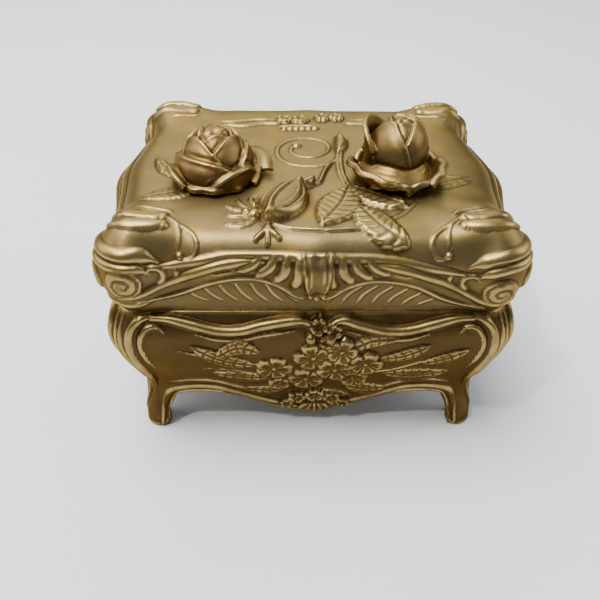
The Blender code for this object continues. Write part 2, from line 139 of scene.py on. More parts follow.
class Relief:
    """Ornament on one flat chart of a surface: u and v in mm at each vertex, and the height raised there."""

    def __init__(self, u, v, live):
        self.u, self.v, self.live = u, v, live
        self.h = np.zeros_like(u)

    def near(self, points, reach):
        low, high = points.min(0) - reach, points.max(0) + reach
        inside = (self.u > low[0]) & (self.u < high[0]) & (self.v > low[1]) & (self.v < high[1]) & self.live
        return np.nonzero(inside)[0]

    def along(self, points, reach):
        """For vertices near a curve: index, share of its length and distance to its left; then its length."""
        line = curve_through(points)
        run = np.concatenate([[0], np.cumsum(np.linalg.norm(np.diff(line, axis=0), axis=1))])
        near = self.near(line, reach)
        if not len(near):
            return near, None, None, run[-1]
        place = np.stack([self.u[near], self.v[near]], axis=1)
        nearest = np.empty(len(near), int)
        for k in range(0, len(near), 4000):
            gap = ((place[k:k + 4000, None, :] - line[None, :, :]) ** 2).sum(2)
            nearest[k:k + 4000] = gap.argmin(1)
        tangent = np.gradient(line, axis=0)
        tangent /= np.linalg.norm(tangent, axis=1)[:, None] + 1e-9
        away = place - line[nearest]
        t = tangent[nearest]
        ahead = (away * t).sum(1)
        left = t[:, 0] * away[:, 1] - t[:, 1] * away[:, 0]
        last = len(line) - 1
        beyond = ((nearest == 0) & (ahead < 0)) | ((nearest == last) & (ahead > 0))
        left = np.where(beyond, np.copysign(np.hypot(left, ahead), left), left)
        share = np.clip((run[nearest] + np.where(beyond, 0, ahead)) / run[-1], 0, 1)
        return near, share, left, run[-1]

    def put(self, near, height, on_top=False):
        if on_top:
            self.h[near] += height
        else:
            self.h[near] = np.maximum(self.h[near], height)

    def ridge(self, points, width, height, thin=(0.35, 0.35), on_top=False, flat=2.0):
        """A rounded ridge; thin gives its share of the width at each end, flat how square its crest is."""
        near, share, left, _ = self.along(points, width * 1.1)
        if not len(near):
            return
        taper = np.minimum(1, mix(thin[0], 1, smooth(share / 0.25)))
        taper = np.minimum(taper, mix(thin[1], 1, smooth((1 - share) / 0.25)))
        across = np.abs(left) / (width * taper)
        rise = height * taper**0.6 * np.clip(1 - across**flat, 0, 1) ** 0.8
        self.put(near, rise, on_top)

    def groove(self, points, width, depth, thin=(0.3, 0.3)):
        near, share, left, _ = self.along(points, width * 1.1)
        if not len(near):
            return
        taper = np.minimum(mix(thin[0], 1, smooth(share / 0.2)), mix(thin[1], 1, smooth((1 - share) / 0.2)))
        across = np.abs(left) / (width * taper)
        self.h[near] -= depth * taper * np.clip(1 - across**2, 0, 1) ** 1.2

    def ball(self, u, v, radius, height):
        near = self.near(np.array([[u, v]]), radius)
        gap = np.hypot(self.u[near] - u, self.v[near] - v) / radius
        self.put(near, height * np.sqrt(np.clip(1 - gap**2, 0, 1)))

    def pillow(self, points, width, height, shape=0.9, on_top=False):
        """A smooth swelling along a spine, widest in its middle, like a bud or a shield."""
        near, share, left, _ = self.along(points, width)
        if not len(near):
            return
        wide = width * np.sin(math.pi * np.clip(share, 0.02, 0.98) ** shape) ** 0.55
        across = np.abs(left) / wide
        self.put(near, height * np.sqrt(np.clip(1 - across**2, 0, 1)), on_top)

    def leaf(self, points, width, height, teeth=9, veins=0.2, serrate=0.12, fat=0.85, rib=0.3):
        """A serrated leaf along a spine, with a raised edge, a midrib groove, side veins and a puckered face."""
        near, share, left, length = self.along(points, width * 1.15)
        if not len(near):
            return
        side = np.abs(left)
        leaning = share + side / length * 0.45
        outline = np.sin(math.pi * np.clip(share, 0.01, 0.99) ** fat) ** 0.6
        tooth = (leaning * teeth) % 1.0
        wide = width * outline * (1 - serrate * tooth)
        across = side / np.maximum(wide, 0.05)
        body = np.clip(1 - across**7, 0, 1) ** 0.5
        dish = 0.78 + 0.10 * np.cos(across * math.pi) + 0.18 * np.exp(-(((across - 0.84) / 0.16) ** 2))
        phase = (leaning * teeth * 0.7) % 1.0
        vein = np.exp(-((np.minimum(phase, 1 - phase) / 0.10) ** 2))
        vein = vein * smooth(across / 0.3) * smooth((1 - across) / 0.25)
        pucker = np.sin(math.pi * phase) * np.sin(math.pi * np.clip(across, 0, 1)) ** 2
        pucker = pucker * (0.6 + 0.4 * np.sin(9 * share))
        rise = height * body * (dish - veins * vein + 0.12 * pucker)
        rise -= rib * height * np.exp(-((side / 0.42) ** 2)) * (across < 1)
        self.put(near, np.where(across < 1, np.maximum(rise, 0), 0))

    def blossom(self, u, v, radius, height, petals=5, turn=0.0):
        """A small open flower: petals with raised rims, parted by creases, round a raised button."""
        near = self.near(np.array([[u, v]]), radius)
        du, dv = self.u[near] - u, self.v[near] - v
        gap = np.hypot(du, dv) / radius
        angle = np.arctan2(dv, du) + math.radians(turn)
        lobe = np.abs(np.cos(petals * angle / 2))
        edge = (0.62 + 0.38 * lobe**0.42) * (1 - 0.06 * smooth((lobe - 0.93) / 0.07))
        reach = gap / edge
        body = np.clip(1 - reach**8, 0, 1) ** 0.5 * (0.5 + 0.5 * smooth(lobe / 0.4))
        dish = 0.55 + 0.35 * smooth((reach - 0.2) / 0.5) + 0.14 * np.exp(-(((reach - 0.80) / 0.16) ** 2))
        button = 0.9 * np.sqrt(np.clip(1 - (gap / 0.17) ** 2, 0, 1))
        self.put(near, height * np.maximum(body * dish, button))

    def flutes(self, starts, ends, width, height):
        for a, b in zip(starts, ends):
            middle = ((a[0] + b[0]) / 2 + 0.12 * (b[1] - a[1]), (a[1] + b[1]) / 2)
            self.ridge([a, middle, b], width, height, thin=(0.9, 0.25))

    def volute(self, u, v, radius, height, hand):
        """A coiled scroll end: a softly domed disc with a spiral line cut into it and a raised eye."""
        near = self.near(np.array([[u, v]]), radius * 1.02)
        gap = np.hypot(self.u[near] - u, self.v[near] - v) / radius
        self.put(near, height * np.clip(1 - gap**4, 0, 1) ** 0.5)
        self.groove(spiral(u, v, radius * 0.84, 1.5 * hand, 90), 0.62, height * 0.42, thin=(0.9, 0.5))
        self.ball(u, v, radius * 0.17, height * 1.0)


# ---------------------------------------------------------------- the rim and the base surfaces

class Rim:
    """The fine stations round the rim, as arrays: core point, normal, side, distances along it."""

    def __init__(self):
        rows = []
        quarter = [(CORE_X, y, 0.0, y, True) for y in np.linspace(0, CORE_Y, int(CORE_Y / STEP) + 2)[:-1]]
        for k in range(ARC_STEPS + 1):
            angle = math.pi / 2 * k / ARC_STEPS
            on_side = angle < math.pi / 4
            quarter.append((CORE_X, CORE_Y, angle, CORE_Y if on_side else CORE_X, on_side))
        quarter += [(x, CORE_Y, math.pi / 2, x, False)
                    for x in np.linspace(CORE_X, 0, int(CORE_X / STEP) + 2)[1:]]
        rows += quarter
        rows += [(-x, y, math.pi - a, along, side) for x, y, a, along, side in reversed(quarter[:-1])]
        rows += [(-x, -y, math.pi + a, along, side) for x, y, a, along, side in quarter[1:]]
        rows += [(x, -y, -a, along, side) for x, y, a, along, side in reversed(quarter[1:-1])]
        data = np.array([r[:4] for r in rows], float)
        self.on_side = np.array([r[4] for r in rows])
        self.core, angle, self.along = data[:, :2], data[:, 2], np.abs(data[:, 3])
        self.normal = np.stack([np.cos(angle), np.sin(angle)], axis=1)
        half = np.where(self.on_side, RIM_HALF_Y, RIM_HALF_X)
        self.to_arc = np.maximum(0, half - CORNER_R - self.along)
        # 0 on a long side, a quarter turn on a short one
        turn = np.arctan2(np.abs(self.normal[:, 0]), np.abs(self.normal[:, 1]))
        past_x = CORNER_ARC * turn
        past_y = CORNER_ARC * (math.pi / 2 - turn)
        x, y = self.core[:, 0], self.core[:, 1]
        self.sign_x = np.where(np.abs(x) > 0.01, np.sign(x), 1)
        self.sign_y = np.where(np.abs(y) > 0.01, np.sign(y), 1)
        self.u_face = self.sign_x * (np.abs(x) + past_x + (CORE_Y - np.abs(y)))
        self.u_side = self.sign_y * (np.abs(y) + past_y + (CORE_X - np.abs(x)))
        self.faces_front = turn < math.pi / 4 + 1e-6
        self.count = len(rows)

    def point(self, offset, z):
        radius = np.maximum(CORNER_R + offset, LEAST_R)
        pulled = np.maximum(0.0, LEAST_R - CORNER_R - offset)
        x = self.core[:, 0] * (CORE_X - pulled) / CORE_X + self.normal[:, 0] * radius
        y = self.core[:, 1] * (CORE_Y - pulled) / CORE_Y + self.normal[:, 1] * radius
        return np.stack([x, y, np.broadcast_to(z, x.shape)], axis=1)


RIM = Rim()


def knob_reach(reach=KNOB_REACH):
    return smooth(1 - RIM.to_arc / reach)


def lid_level(share):
    """The ring of the lid's skirt at a share of the way from its rim to its top edge."""
    places = np.linspace(0, 1, len(LID_SKIRT))
    face_z, face_out, corner_z, corner_out = (np.interp(share, places, [r[k] for r in LID_SKIRT])
                                              for k in range(4))
    reach = knob_reach()
    z, out = mix(face_z, corner_z, reach), mix(face_out, corner_out, reach)
    lip = smooth((face_z - 70) / 9) * smooth((93 - face_z) / 5)
    depth = np.where(RIM.on_side, NECK_DEPTH[True], NECK_DEPTH[False])
    neck = depth * np.exp(-(((RIM.to_arc - NECK_AT) / NECK_WIDTH) ** 2))
    side = SIDE_BULGE_OUT * np.cos(math.pi / 2 * np.minimum(1, RIM.along / SIDE_BULGE_HALF)) ** 2
    clasp = CLASP_OUT * np.exp(-((RIM.along / CLASP_HALF) ** 2))
    bulge = np.where(RIM.on_side, side, clasp)
    return RIM.point(out + lip * (bulge - neck * (1 - reach)), z)


def lid_inner_level(level):
    reach = knob_reach()
    return RIM.point(mix(level[1], level[3], reach), mix(level[0], level[2], reach))


def body_offset(z):
    return mix(reading(BODY_FACE, z), reading(BODY_CORNER, z), knob_reach())


def apron_z():
    arch_at = np.where(RIM.on_side, ARCH_AT[True], ARCH_AT[False])
    leg_at = np.where(RIM.on_side, LEG_AT[True], LEG_AT[False])
    u = RIM.along
    arch = mix(APRON_DROP_Z, APRON_ARCH_Z, smooth(u / arch_at))
    leg = APRON_ARCH_Z * np.sqrt(np.clip(1 - (np.clip(u - arch_at, 0, None) / (leg_at - arch_at)) ** 4, 0, 1))
    return np.where(u <= arch_at, arch, np.where(u < leg_at, leg, 0.0))


# ---------------------------------------------------------------- meshes from arrays

def vertex_normals(points, quads):
    a, b, c, d = (points[quads[:, k]] for k in range(4))
    face = np.cross(c - a, d - b)
    out = np.zeros_like(points)
    for k in range(4):
        for axis in range(3):
            out[:, axis] += np.bincount(quads[:, k], face[:, axis], minlength=len(points))
    return out / (np.linalg.norm(out, axis=1)[:, None] + 1e-12)


def prepared(points, quads, from_rim, rounds=60):
    """The surface without creases between its levels, but as it is at its rims; its normals; softer ones."""
    edges = np.unique(np.sort(np.concatenate([quads[:, [0, 1]], quads[:, [1, 2]]]), axis=1), axis=0)
    points = mix(points, relaxed(points, edges, rounds), smooth(from_rim / 2.0)[:, None])
    normals = vertex_normals(points, quads)
    soft_normals = relaxed(normals, edges, 6)
    return points, normals, soft_normals / np.linalg.norm(soft_normals, axis=1)[:, None]


def relaxed(values, edges, rounds):
    """Values spread over the mesh by averaging each with its neighbours, once per round."""
    count = len(values)
    i, j = edges[:, 0], edges[:, 1]
    weight = np.bincount(i, minlength=count) + np.bincount(j, minlength=count)
    weight = np.maximum(weight, 1)[:, None]
    out = values.copy()
    for _ in range(rounds):
        total = np.zeros_like(out)
        for axis in range(out.shape[1]):
            total[:, axis] = np.bincount(i, out[j, axis], minlength=count)
            total[:, axis] += np.bincount(j, out[i, axis], minlength=count)
        out = 0.5 * out + 0.5 * total / weight
    return out


def positions(mesh):
    out = np.empty(len(mesh.vertices) * 3)
    mesh.vertices.foreach_get("co", out)
    return out.reshape(-1, 3)


def normals_of(mesh):
    out = np.empty(len(mesh.vertices) * 3)
    mesh.vertices.foreach_get("normal", out)
    return out.reshape(-1, 3)


def mark_wear_and_painted_light(obj, fine_rounds=3, wide_rounds=26):
    """Stores how far each point stands out of its surroundings, 1 on a crest and 0 in a hollow.

    Red compares it with its near surroundings and green with wider ones. Alpha is how far it faces up when
    the box is shut. The materials use these for painted shade in hollows and on upright faces, and for
    bright crests that are partly rubbed gilt and partly a painted highlight.
    """
    mesh = obj.data
    points, normals = positions(mesh) / MM, normals_of(mesh)
    edges = np.empty(len(mesh.edges) * 2, int)
    mesh.edges.foreach_get("vertices", edges)
    edges = edges.reshape(-1, 2)
    colours = np.ones((len(points), 4))
    for channel, (rounds, scale) in enumerate(((fine_rounds, 0.06), (wide_rounds, 0.35))):
        out = ((points - relaxed(points, edges, rounds)) * normals).sum(1)
        colours[:, channel] = np.clip(0.5 + 0.5 * out / scale, 0, 1)
    # Alpha: how far each point faces up, used for painted shade on upright faces
    colours[:, 3] = np.clip(relaxed(normals, edges, 6)[:, 2], 0, 1)
    layer = mesh.attributes.new("wear_and_painted_light", "FLOAT_COLOR", "POINT")
    layer.data.foreach_set("color", colours.astype(np.float32).ravel())


def mesh_object(name, points, faces, material):
    """A mesh object from points in millimetres and lists of face corners."""
    mesh = bpy.data.meshes.new(name)
    mesh.from_pydata([tuple(p) for p in np.asarray(points) * MM], [],
                     [tuple(int(i) for i in f) for f in faces])
    mesh.update()
    mesh.materials.append(material)
    mesh.shade_smooth()
    obj = bpy.data.objects.new(name, mesh)
    bpy.context.scene.collection.objects.link(obj)
    return obj


def ring_quads(low, high):
    """Quads between two rings of vertex indices of the same length."""
    return np.stack([low, np.roll(low, -1), np.roll(high, -1), high], axis=1)


def piece(obj, body, nodes=()):
    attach(obj, body)
    if nodes:
        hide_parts(*nodes)
    return obj


# ---------------------------------------------------------------- the lid casting

def top_grid(half_i, half_j):
    """The concentric grid that fills the rim: each vertex's share of the way out, and its place round it."""
    i, j = np.meshgrid(np.arange(-half_i, half_i + 1), np.arange(-half_j, half_j + 1), indexing="ij")
    share = np.maximum(np.abs(i) / half_i, np.abs(j) / half_j)
    safe = np.maximum(share, 1e-9)
    pi, pj = i / safe, j / safe
    right, left = pi >= half_i - 1e-6, pi <= -half_i + 1e-6
    back = (pj >= half_j - 1e-6) & ~right & ~left
    place = np.where(right, pj, np.where(back, half_j + (half_i - pi), 0.0))
    place = np.where(left, half_j + 2 * half_i + (half_j - pj), place)
    front = ~right & ~left & ~back
    place = np.where(front, 3 * half_j + 2 * half_i + (pi + half_i), place)
    return share, place % RIM.count


def at_place(ring, place):
    """Points of a ring at fractional places along it."""
    low = np.floor(place).astype(int) % RIM.count
    t = (place - np.floor(place))[..., None]
    return ring[low] * (1 - t) + ring[(low + 1) % RIM.count] * t


def lid_surface():
    """The lid's outer surface before any ornament: skirt rings and the top's grid, all in one vertex list."""
    shares = np.linspace(0, 1, SKIRT_ROWS + 1)
    rings = [lid_level(s) for s in shares]
    skirt = np.concatenate(rings)
    quarter = RIM.count // 4
    corner = next(k for k in range(quarter) if RIM.on_side[k] and not RIM.on_side[k + 1]) + 1
    share, place = top_grid(quarter - corner, corner)
    edge = rings[-1][:, :2]
    flat = at_place(edge, place) * share[..., None]
    reach = at_place(smooth(1 - RIM.to_arc / EAR_REACH)[:, None], place)[..., 0]
    order = sorted(LID_DOME)
    z = mix(reading(order, share, 1), reading(order, share, 2), reach)
    rim = share > 0.9999
    z = np.where(rim, at_place(rings[-1][:, 2:3], place)[..., 0], z)
    grid = np.concatenate([flat, z[..., None]], axis=2)
    number = np.full(share.shape, -1)
    number[rim] = SKIRT_ROWS * RIM.count + np.round(place[rim]).astype(int) % RIM.count
    number[~rim] = len(skirt) + np.arange((~rim).sum())
    points = np.concatenate([skirt, grid[~rim]])
    quads = [ring_quads(np.arange(RIM.count) + k * RIM.count, np.arange(RIM.count) + (k + 1) * RIM.count)
             for k in range(SKIRT_ROWS)]
    quads.append(np.stack([number[:-1, :-1], number[1:, :-1], number[1:, 1:], number[:-1, 1:]],
                          axis=-1).reshape(-1, 4))
    station = np.concatenate([np.tile(np.arange(RIM.count), SKIRT_ROWS + 1),
                              np.round(place[~rim]).astype(int) % RIM.count])
    return points, np.concatenate(quads), station, len(skirt)


def front_border(r, lean, clasp):
    """The scrolled border of a long side of the lid: u from its middle, v the height."""
    for hand in (-1, 1):
        path = on_side_of(hand, lean=lean)
        r.ridge(path([(3, 90.4), (10, 90.2), (20, 90.2), (30.5, 89.4), (42, 87.0), (51, 85.4), (58, 86.4)]),
                1.5, 0.9, thin=(1, 0.3))
        sweep = [(17, 88.2), (24, 88.0), (33.5, 86.2), (42, 82.8), (48.5, 79.3), (55.5, 76.2), (61, 74.6),
                 (66.5, 73.8)]
        r.ridge(path(sweep), 1.9, 1.5, thin=(0.2, 0.8))
        r.groove(path([(24, 85.8), (32, 84.2), (39.4, 81.2), (45.4, 77.4), (52, 74.4), (60, 72.6)]), 0.8, 0.4)
        r.ridge(path([(3.5, 72.3), (6.5, 73.2), (10.2, 76.6), (14.6, 79.8), (20.5, 81.9), (28, 81.6),
                      (35.2, 79.3),
                      (40, 76.6), (46, 73.4), (53, 71.2), (62, 70.6)]), 1.15, 0.95, thin=(0.6, 0.4))
        starts = [(x, 78.8 - 0.012 * (x - 22) ** 2) for x in np.arange(11.0, 46, 5.4)]
        r.flutes(path(starts), path([(x - 6.4, 69.6) for x, _ in starts]), 0.85, 0.34)
        lobes = ((5.0, 89.6, 5.4, 83.4, 7.6, 77.6), (9.2, 89.8, 10.2, 84.8, 14.2, 80.2),
                 (13.6, 89.6, 15.4, 86.0, 20.4, 82.6),
                 (18.8, 89.4, 21.2, 87.0, 26.4, 84.6))
        for k, (x0, z0, x1, z1, x2, z2) in enumerate(lobes):
            r.ridge(path([(x0, z0), (x1, z1), (x2, z2)]), 2.1 - 0.16 * k, 1.5 - 0.14 * k, thin=(0.8, 0.25))
        r.ridge(path([(54.6, 77.6), (51.8, 80.8), (52.4, 84.2), (55.6, 85.2), (57.2, 83.0)]), 1.2, 1.2)
        r.ridge(path([(49.6, 79.0), (47.0, 81.8), (47.4, 84.8)]), 1.1, 0.7)
    if clasp:
        r.ridge([(1.0, 91.4), (1.0, 86), (1.0, 80), (1.0, 75.0)], 4.4, 1.5, thin=(1.0, 0.35), flat=3.4)
        r.groove([(1.0, 90.0), (1.0, 84.0), (1.0, 77.0)], 2.2, 0.7, thin=(1.0, 0.6))
        for side in (-1, 1):
            r.ridge([(1 + side * 4.6, 91.0), (1 + side * 3.8, 86), (1 + side * 3.2, 80.5),
                     (1 + side * 1.6, 75.6)],
                    0.95, 2.1, thin=(0.8, 0.8))
        for du, dz, size in ((-2.1, 74.8, 1.2), (0, 73.6, 1.4), (2.1, 74.8, 1.2)):
            r.ball(1.0 + du, dz, size, 1.9)
    else:
        r.leaf([(0, 74), (0, 82), (0, 90)], 5.0, 1.6, teeth=7)


def side_border(r):
    """The bulging serrated flange of a short side of the lid."""
    for hand in (-1, 1):
        path = on_side_of(hand)
        r.ridge(path([(0, 90.4), (12, 90.4), (24, 89.6), (33, 87.8), (39, 86.8), (45, 87.4)]), 1.5, 0.9,
                thin=(1, 0.4))
        r.ridge(path([(0, 86.8), (12, 86.8), (23, 85.2), (31, 81.4), (37, 77.6), (43, 75.2), (52, 73.8)]),
                1.9, 1.5,
                thin=(1, 0.8))
        r.ridge(path([(0, 80.0), (9, 79.6), (18, 77.4), (26, 73.9), (33, 71.6), (42, 70.8), (49, 70.6)]),
                1.15, 0.95,
                thin=(1, 0.4))
        starts = [(x, 84.2 - 0.008 * x * x) for x in np.arange(6.4, 25, 4.6)]
        r.flutes(path(starts), path([(x - 1.8, z - 3.4 - 0.003 * x * x) for x, z in starts]), 1.2, 0.7)
        low = [(x, 76.8 - 0.006 * x * x) for x in np.arange(7.0, 30, 5.4)]
        r.flutes(path(low), path([(x - 3.8, 69.2) for x, _ in low]), 0.85, 0.36)
        r.ridge(path([(41.4, 78.0), (38.6, 80.8), (39.4, 84.0), (42.6, 84.6), (44.0, 82.4)]), 1.2, 1.2)
    r.leaf([(0, 74.5), (0, 81.5), (0, 88.5)], 5.4, 1.6, teeth=7)


def corner_knob(r, u, lean):
    """The scrolled knob at the end of a border, given the place of its disc along the side."""
    hand = 1 if u > 0 else -1
    drop = -lean * u
    r.volute(u, 79.4 + drop, 6.2, 1.5, -hand)
    r.ridge([(u - 12 * hand, 87.6 + drop * 0.5), (u - 6 * hand, 90.4 + drop * 0.5), (u + 1 * hand, 91.4),
             (u + 8 * hand, 91.6), (u + 12 * hand, 91.6)], 2.3, 1.2, thin=(0.3, 1))
    r.ridge([(u - 9 * hand, 83.6 + drop * 0.5), (u - 5.6 * hand, 86.0 + drop * 0.5), (u + 1 * hand, 87.4),
             (u + 8 * hand, 87.4), (u + 12 * hand, 87.2)], 1.8, 1.1, thin=(0.3, 1))
    r.groove([(u - 8 * hand, 87.2 + drop * 0.5), (u - 2 * hand, 89.2), (u + 7 * hand, 89.6),
              (u + 12 * hand, 89.5)],
             0.8, 0.5, thin=(0.3, 1))
    r.ridge([(u - 8 * hand, 71.8), (u, 70.4), (u + 7 * hand, 71.0), (u + 11 * hand, 71.0)], 1.5, 0.7,
            thin=(0.4, 1))


def ear_folds(r, hx, hy):
    """Acanthus folds on top of one corner of the lid: long soft lobes out to the corner, with cuts between."""
    def at(points):
        return [(hx * x, hy * y) for x, y in points]

    lobes = (((52.0, 46.6), (58.5, 46.6), (65.0, 46.0), (70.0, 44.0)),
             ((51.4, 51.6), (57.5, 52.2), (64.5, 52.0), (70.0, 50.4)))
    for k, lobe in enumerate(lobes):
        r.pillow(at(lobe), 3.0 - 0.2 * k, 1.0, shape=0.75, on_top=True)
        r.ridge(at([(lobe[0][0] + 1.8, lobe[0][1] - 1.8), (lobe[0][0] - 1.0, lobe[0][1] - 0.4),
                    (lobe[0][0] + 0.4, lobe[0][1] + 1.9)]), 0.95, 0.9)
    r.groove(at(((53.0, 49.1), (58.0, 49.5), (65.0, 49.1), (70.0, 47.4))), 0.8, 0.8, thin=(0.3, 0.9))
    r.ridge(at([(48.6, 44.4), (51.0, 42.0), (56.0, 41.0), (62.0, 39.8)]), 0.95, 0.6)


def whiplash(r, hand):
    """The pair of long curling lines on top, beside a front corner, with a ball at the end of the first."""
    at = on_side_of(hand)
    r.ridge(at([(52.0, -44.6), (49.4, -47.4), (46.6, -49.8), (43.6, -51.6), (41.0, -53.8), (39.7, -56.4),
                (40.4, -58.4),
                (42.4, -59.3), (44.6, -59.2)]), 0.52, 0.6, thin=(0.3, 0.9))
    r.ball(hand * 45.6, -58.9, 1.1, 1.1)
    r.ridge(at([(61, -46.6), (56, -45.8), (51.0, -46.8), (47.6, -49.6), (45.8, -52.8), (45.6, -56.0),
                (47.2, -58.6)]),
            0.45, 0.45)
    r.ridge(at([(62.0, -43.6), (58.0, -42.4), (54.0, -42.8)]), 0.45, 0.35)


def rosebud(r):
    """The rosebud in the middle of the lid with its sepals, tendrils and stems."""
    r.pillow([(-16.0, -46.8), (-11.0, -36.0), (-4.4, -24.6)], 8.4, 5.4, shape=0.95)
    r.groove([(-11.0, -44.6), (-6.8, -39.6), (-4.0, -33.4), (-4.4, -27.6)], 0.75, 0.9)
    r.ridge([(-12.8, -45.2), (-8.4, -40.6), (-5.2, -34.8), (-4.8, -28.0)], 0.75, 0.7, on_top=True)
    r.ridge([(-15.7, -50.5), (-15.4, -45.5), (-14.4, -39.5), (-11.2, -32.6), (-6.6, -26.6)], 1.0, 0.9,
            on_top=True)
    r.ridge([(-19.4, -43.0), (-17.6, -36.4), (-14.0, -29.6), (-8.2, -24.0)], 0.75, 0.7, on_top=True)
    for tip in ((-20.0, -55.2), (-16.0, -56.2), (-11.8, -55.0)):
        r.ridge([(-15.8, -48.5), (-15.8 + (tip[0] + 15.8) * 0.22, -52.0), tip], 0.8, 1.3, thin=(1, 0.6))
        r.ball(tip[0], tip[1], 0.7, 1.0)
    r.ball(-20.8, -43.6, 2.6, 2.6)
    r.ball(-23.8, -41.6, 1.5, 1.8)
    for tendril in ([(-20, -42), (-24, -38.6), (-26.6, -35.4), (-27.8, -31.6)],
                    [(-21, -36.6), (-22.6, -33.6), (-21.6, -31.4), (-18.2, -31.2)],
                    [(-20, -45), (-24.6, -44.2), (-28.6, -44.4), (-31.4, -42.6)]):
        r.ridge(tendril, 0.62, 1.1, thin=(1, 0.4))
    r.leaf([(-20.5, -47.0), (-25.5, -49.6), (-31.0, -48.6)], 1.5, 1.0, teeth=4)
    r.leaf([(-22.5, -41.0), (-27.0, -39.6), (-31.6, -37.4)], 1.3, 0.9, teeth=4)
    r.pillow([(-3.4, -23.0), (-1.4, -20.8), (1.0, -19.4)], 2.7, 3.0)
    r.ridge([(0.2, -21.0), (2.6, -20.4), (3.8, -16.8), (5.6, -10.0), (8.4, -3.4)], 0.75, 1.2, thin=(1, 0.6))
    r.ridge([(-14.0, -48.6), (-9.0, -51.0), (-3.0, -51.9), (6.0, -52.1), (14.8, -51.2)], 0.72, 1.25,
            thin=(0.6, 1))


def rose_leaves(r):
    """The three serrated leaves in the middle, the stems, and the leaves behind the left rose."""
    r.leaf([(13.4, -25.6), (9.6, -36.6), (3.0, -48.6)], 8.2, 1.7, teeth=11, fat=0.9, serrate=0.14)
    r.leaf([(15.2, -25.0), (23.0, -30.6), (33.0, -37.8)], 6.8, 1.9, teeth=10, fat=0.9, serrate=0.14)
    r.leaf([(17.0, -39.0), (20.6, -46.6), (24.6, -52.0), (31.6, -56.6)], 6.8, 1.6, teeth=10, fat=0.8,
           serrate=0.14)
    r.ridge([(15.6, -38.0), (14.2, -30.0), (14.2, -24.6)], 0.9, 1.1)
    for shift in (-0.7, 0.7):
        r.ridge([(13.8 + shift, -23.4), (11.6 + shift, -12.0), (11.8 + shift, 2.0), (14.0 + shift, 18.0)],
                0.65, 0.8)
    r.pillow([(11.8, 6.0), (13.4, 14.0), (12.8, 22.0)], 2.6, 2.4)
    r.ridge([(24.8, -47.0), (30.0, -43.4), (34.6, -38.4), (38.4, -32.0)], 0.8, 0.6)
    r.leaf([(-44.0, -27.4), (-53.0, -29.2), (-63.0, -32.0)], 5.2, 1.0)
    r.leaf([(-48.0, -16.0), (-56.4, -9.8), (-61.8, 0.6)], 2.8, 1.5, teeth=6)
    r.leaf([(-46.0, -12.0), (-50.4, -6.0), (-52.8, 3.4)], 2.4, 1.3, teeth=6)
    r.leaf([(47.0, -24.0), (54.0, -20.0), (61.0, -17.4)], 2.6, 0.6, teeth=6)
    r.ridge([(47.0, -12.0), (55.0, -14.6), (62.0, -13.4)], 0.8, 0.45)


def top_scroll(r):
    """The spiral line in the middle of the top."""
    r.ridge([(-4.6, 12.4), (-7.4, 10.4), (-7.6, 5.6), (-4.0, 2.2), (1.6, 1.8), (6.2, 5.2), (8.0, 10.4),
             (6.0, 16.4),
             (-0.6, 19.6), (-8.0, 17.6), (-13.2, 10.4), (-12.6, 0.8), (-7.2, -5.0), (1.2, -6.4), (8.2, -3.6),
             (12.0, 3.6), (15.4, 14.0), (16.0, 24.0)], 0.8, 0.62, thin=(1.2, 0.3))
    r.ball(-5.4, 12.0, 1.7, 1.4)


def back_border(r):
    """Blossoms, a beaded bar and scroll leaves along the back of the top."""
    for x, y, size in ((-10.6, 38.8, 3.9), (-3.4, 38.6, 3.9), (6.4, 41.0, 3.6), (13.0, 41.4, 3.4)):
        r.blossom(x, y, size, 1.9, turn=20 * x)
    for k in range(6):
        r.ball(-10.6 + 2.7 * k, 29.2 + 0.12 * k, 1.6, 1.3)
    r.ridge([(-14.6, 31.6), (-6.0, 32.8), (5.0, 32.8)], 1.0, 0.7)
    for hand, shift in ((-1, -1.0), (1, 5.0)):
        at = on_side_of(hand, shift)
        r.pillow(at([(12, 35.0), (20, 35.8), (28, 32.8), (36, 33.0)]), 2.3, 0.9)
        r.ridge(at([(14, 39.8), (24, 39.6), (33, 37.0), (40, 37.2)]), 1.3, 0.8)
        r.ridge(at([(30, 29.6), (35.6, 29.2), (37.4, 32.6), (34.4, 34.4)]), 0.9, 0.6)


def make_lid(material):
    points, quads, station, skirt_count = lid_surface()
    points, normals, soft_normals = prepared(points, quads, points[:, 2] - LID_RIM_Z)
    height = np.zeros(len(points))
    on_skirt = np.arange(len(points)) < skirt_count
    z = points[:, 2]
    for back in (False, True):
        facing = on_skirt & RIM.faces_front[station] & ((RIM.sign_y[station] > 0) == back)
        u = -RIM.u_face[station] if back else RIM.u_face[station]
        r = Relief(u, z, facing)
        lean = 0.0 if back else LID_LEAN
        front_border(r, lean, not back)
        for disc in (-LONG_DISC_AT, LONG_DISC_AT):
            corner_knob(r, disc, lean)
        height = np.where(facing, r.h * (clear_of_hinges(u, z) if back else 1), height)
    for right in (False, True):
        facing = on_skirt & ~RIM.faces_front[station] & ((RIM.sign_x[station] > 0) == right)
        r = Relief(RIM.u_side[station], z, facing)
        side_border(r)
        for disc in (-SHORT_DISC_AT, SHORT_DISC_AT):
            corner_knob(r, disc, 0.0)
        height = np.where(facing, r.h, height)
    top = normals[:, 2] > 0.45
    r = Relief(points[:, 0], points[:, 1], top)
    for hx in (-1, 1):
        whiplash(r, hx)
        for hy in (-1, 1):
            ear_folds(r, hx, hy)
    for part in (rosebud, rose_leaves, top_scroll, back_border):
        part(r)
    height = np.where(np.abs(r.h) > np.abs(height), r.h, height)
    height *= smooth((z - LID_RIM_Z - 0.4) / 1.6)
    outer = points + soft_normals * height[:, None]
    return close_shell("chased_lid", outer, quads, [lid_inner_level(level) for level in LID_INNER], None,
                       material)


def clear_of_hinges(u, z):
    """1 where ornament may stand, 0 on the plain pads that the hinge leaves lie on."""
    off_x = np.abs(np.abs(u) - HINGE_X) - HINGE_PAD_HALF_X
    off_z = np.abs(z - HINGE_Z) - HINGE_PAD_HALF_Z
    return smooth(np.maximum(off_x, off_z) / HINGE_PAD_FADE)


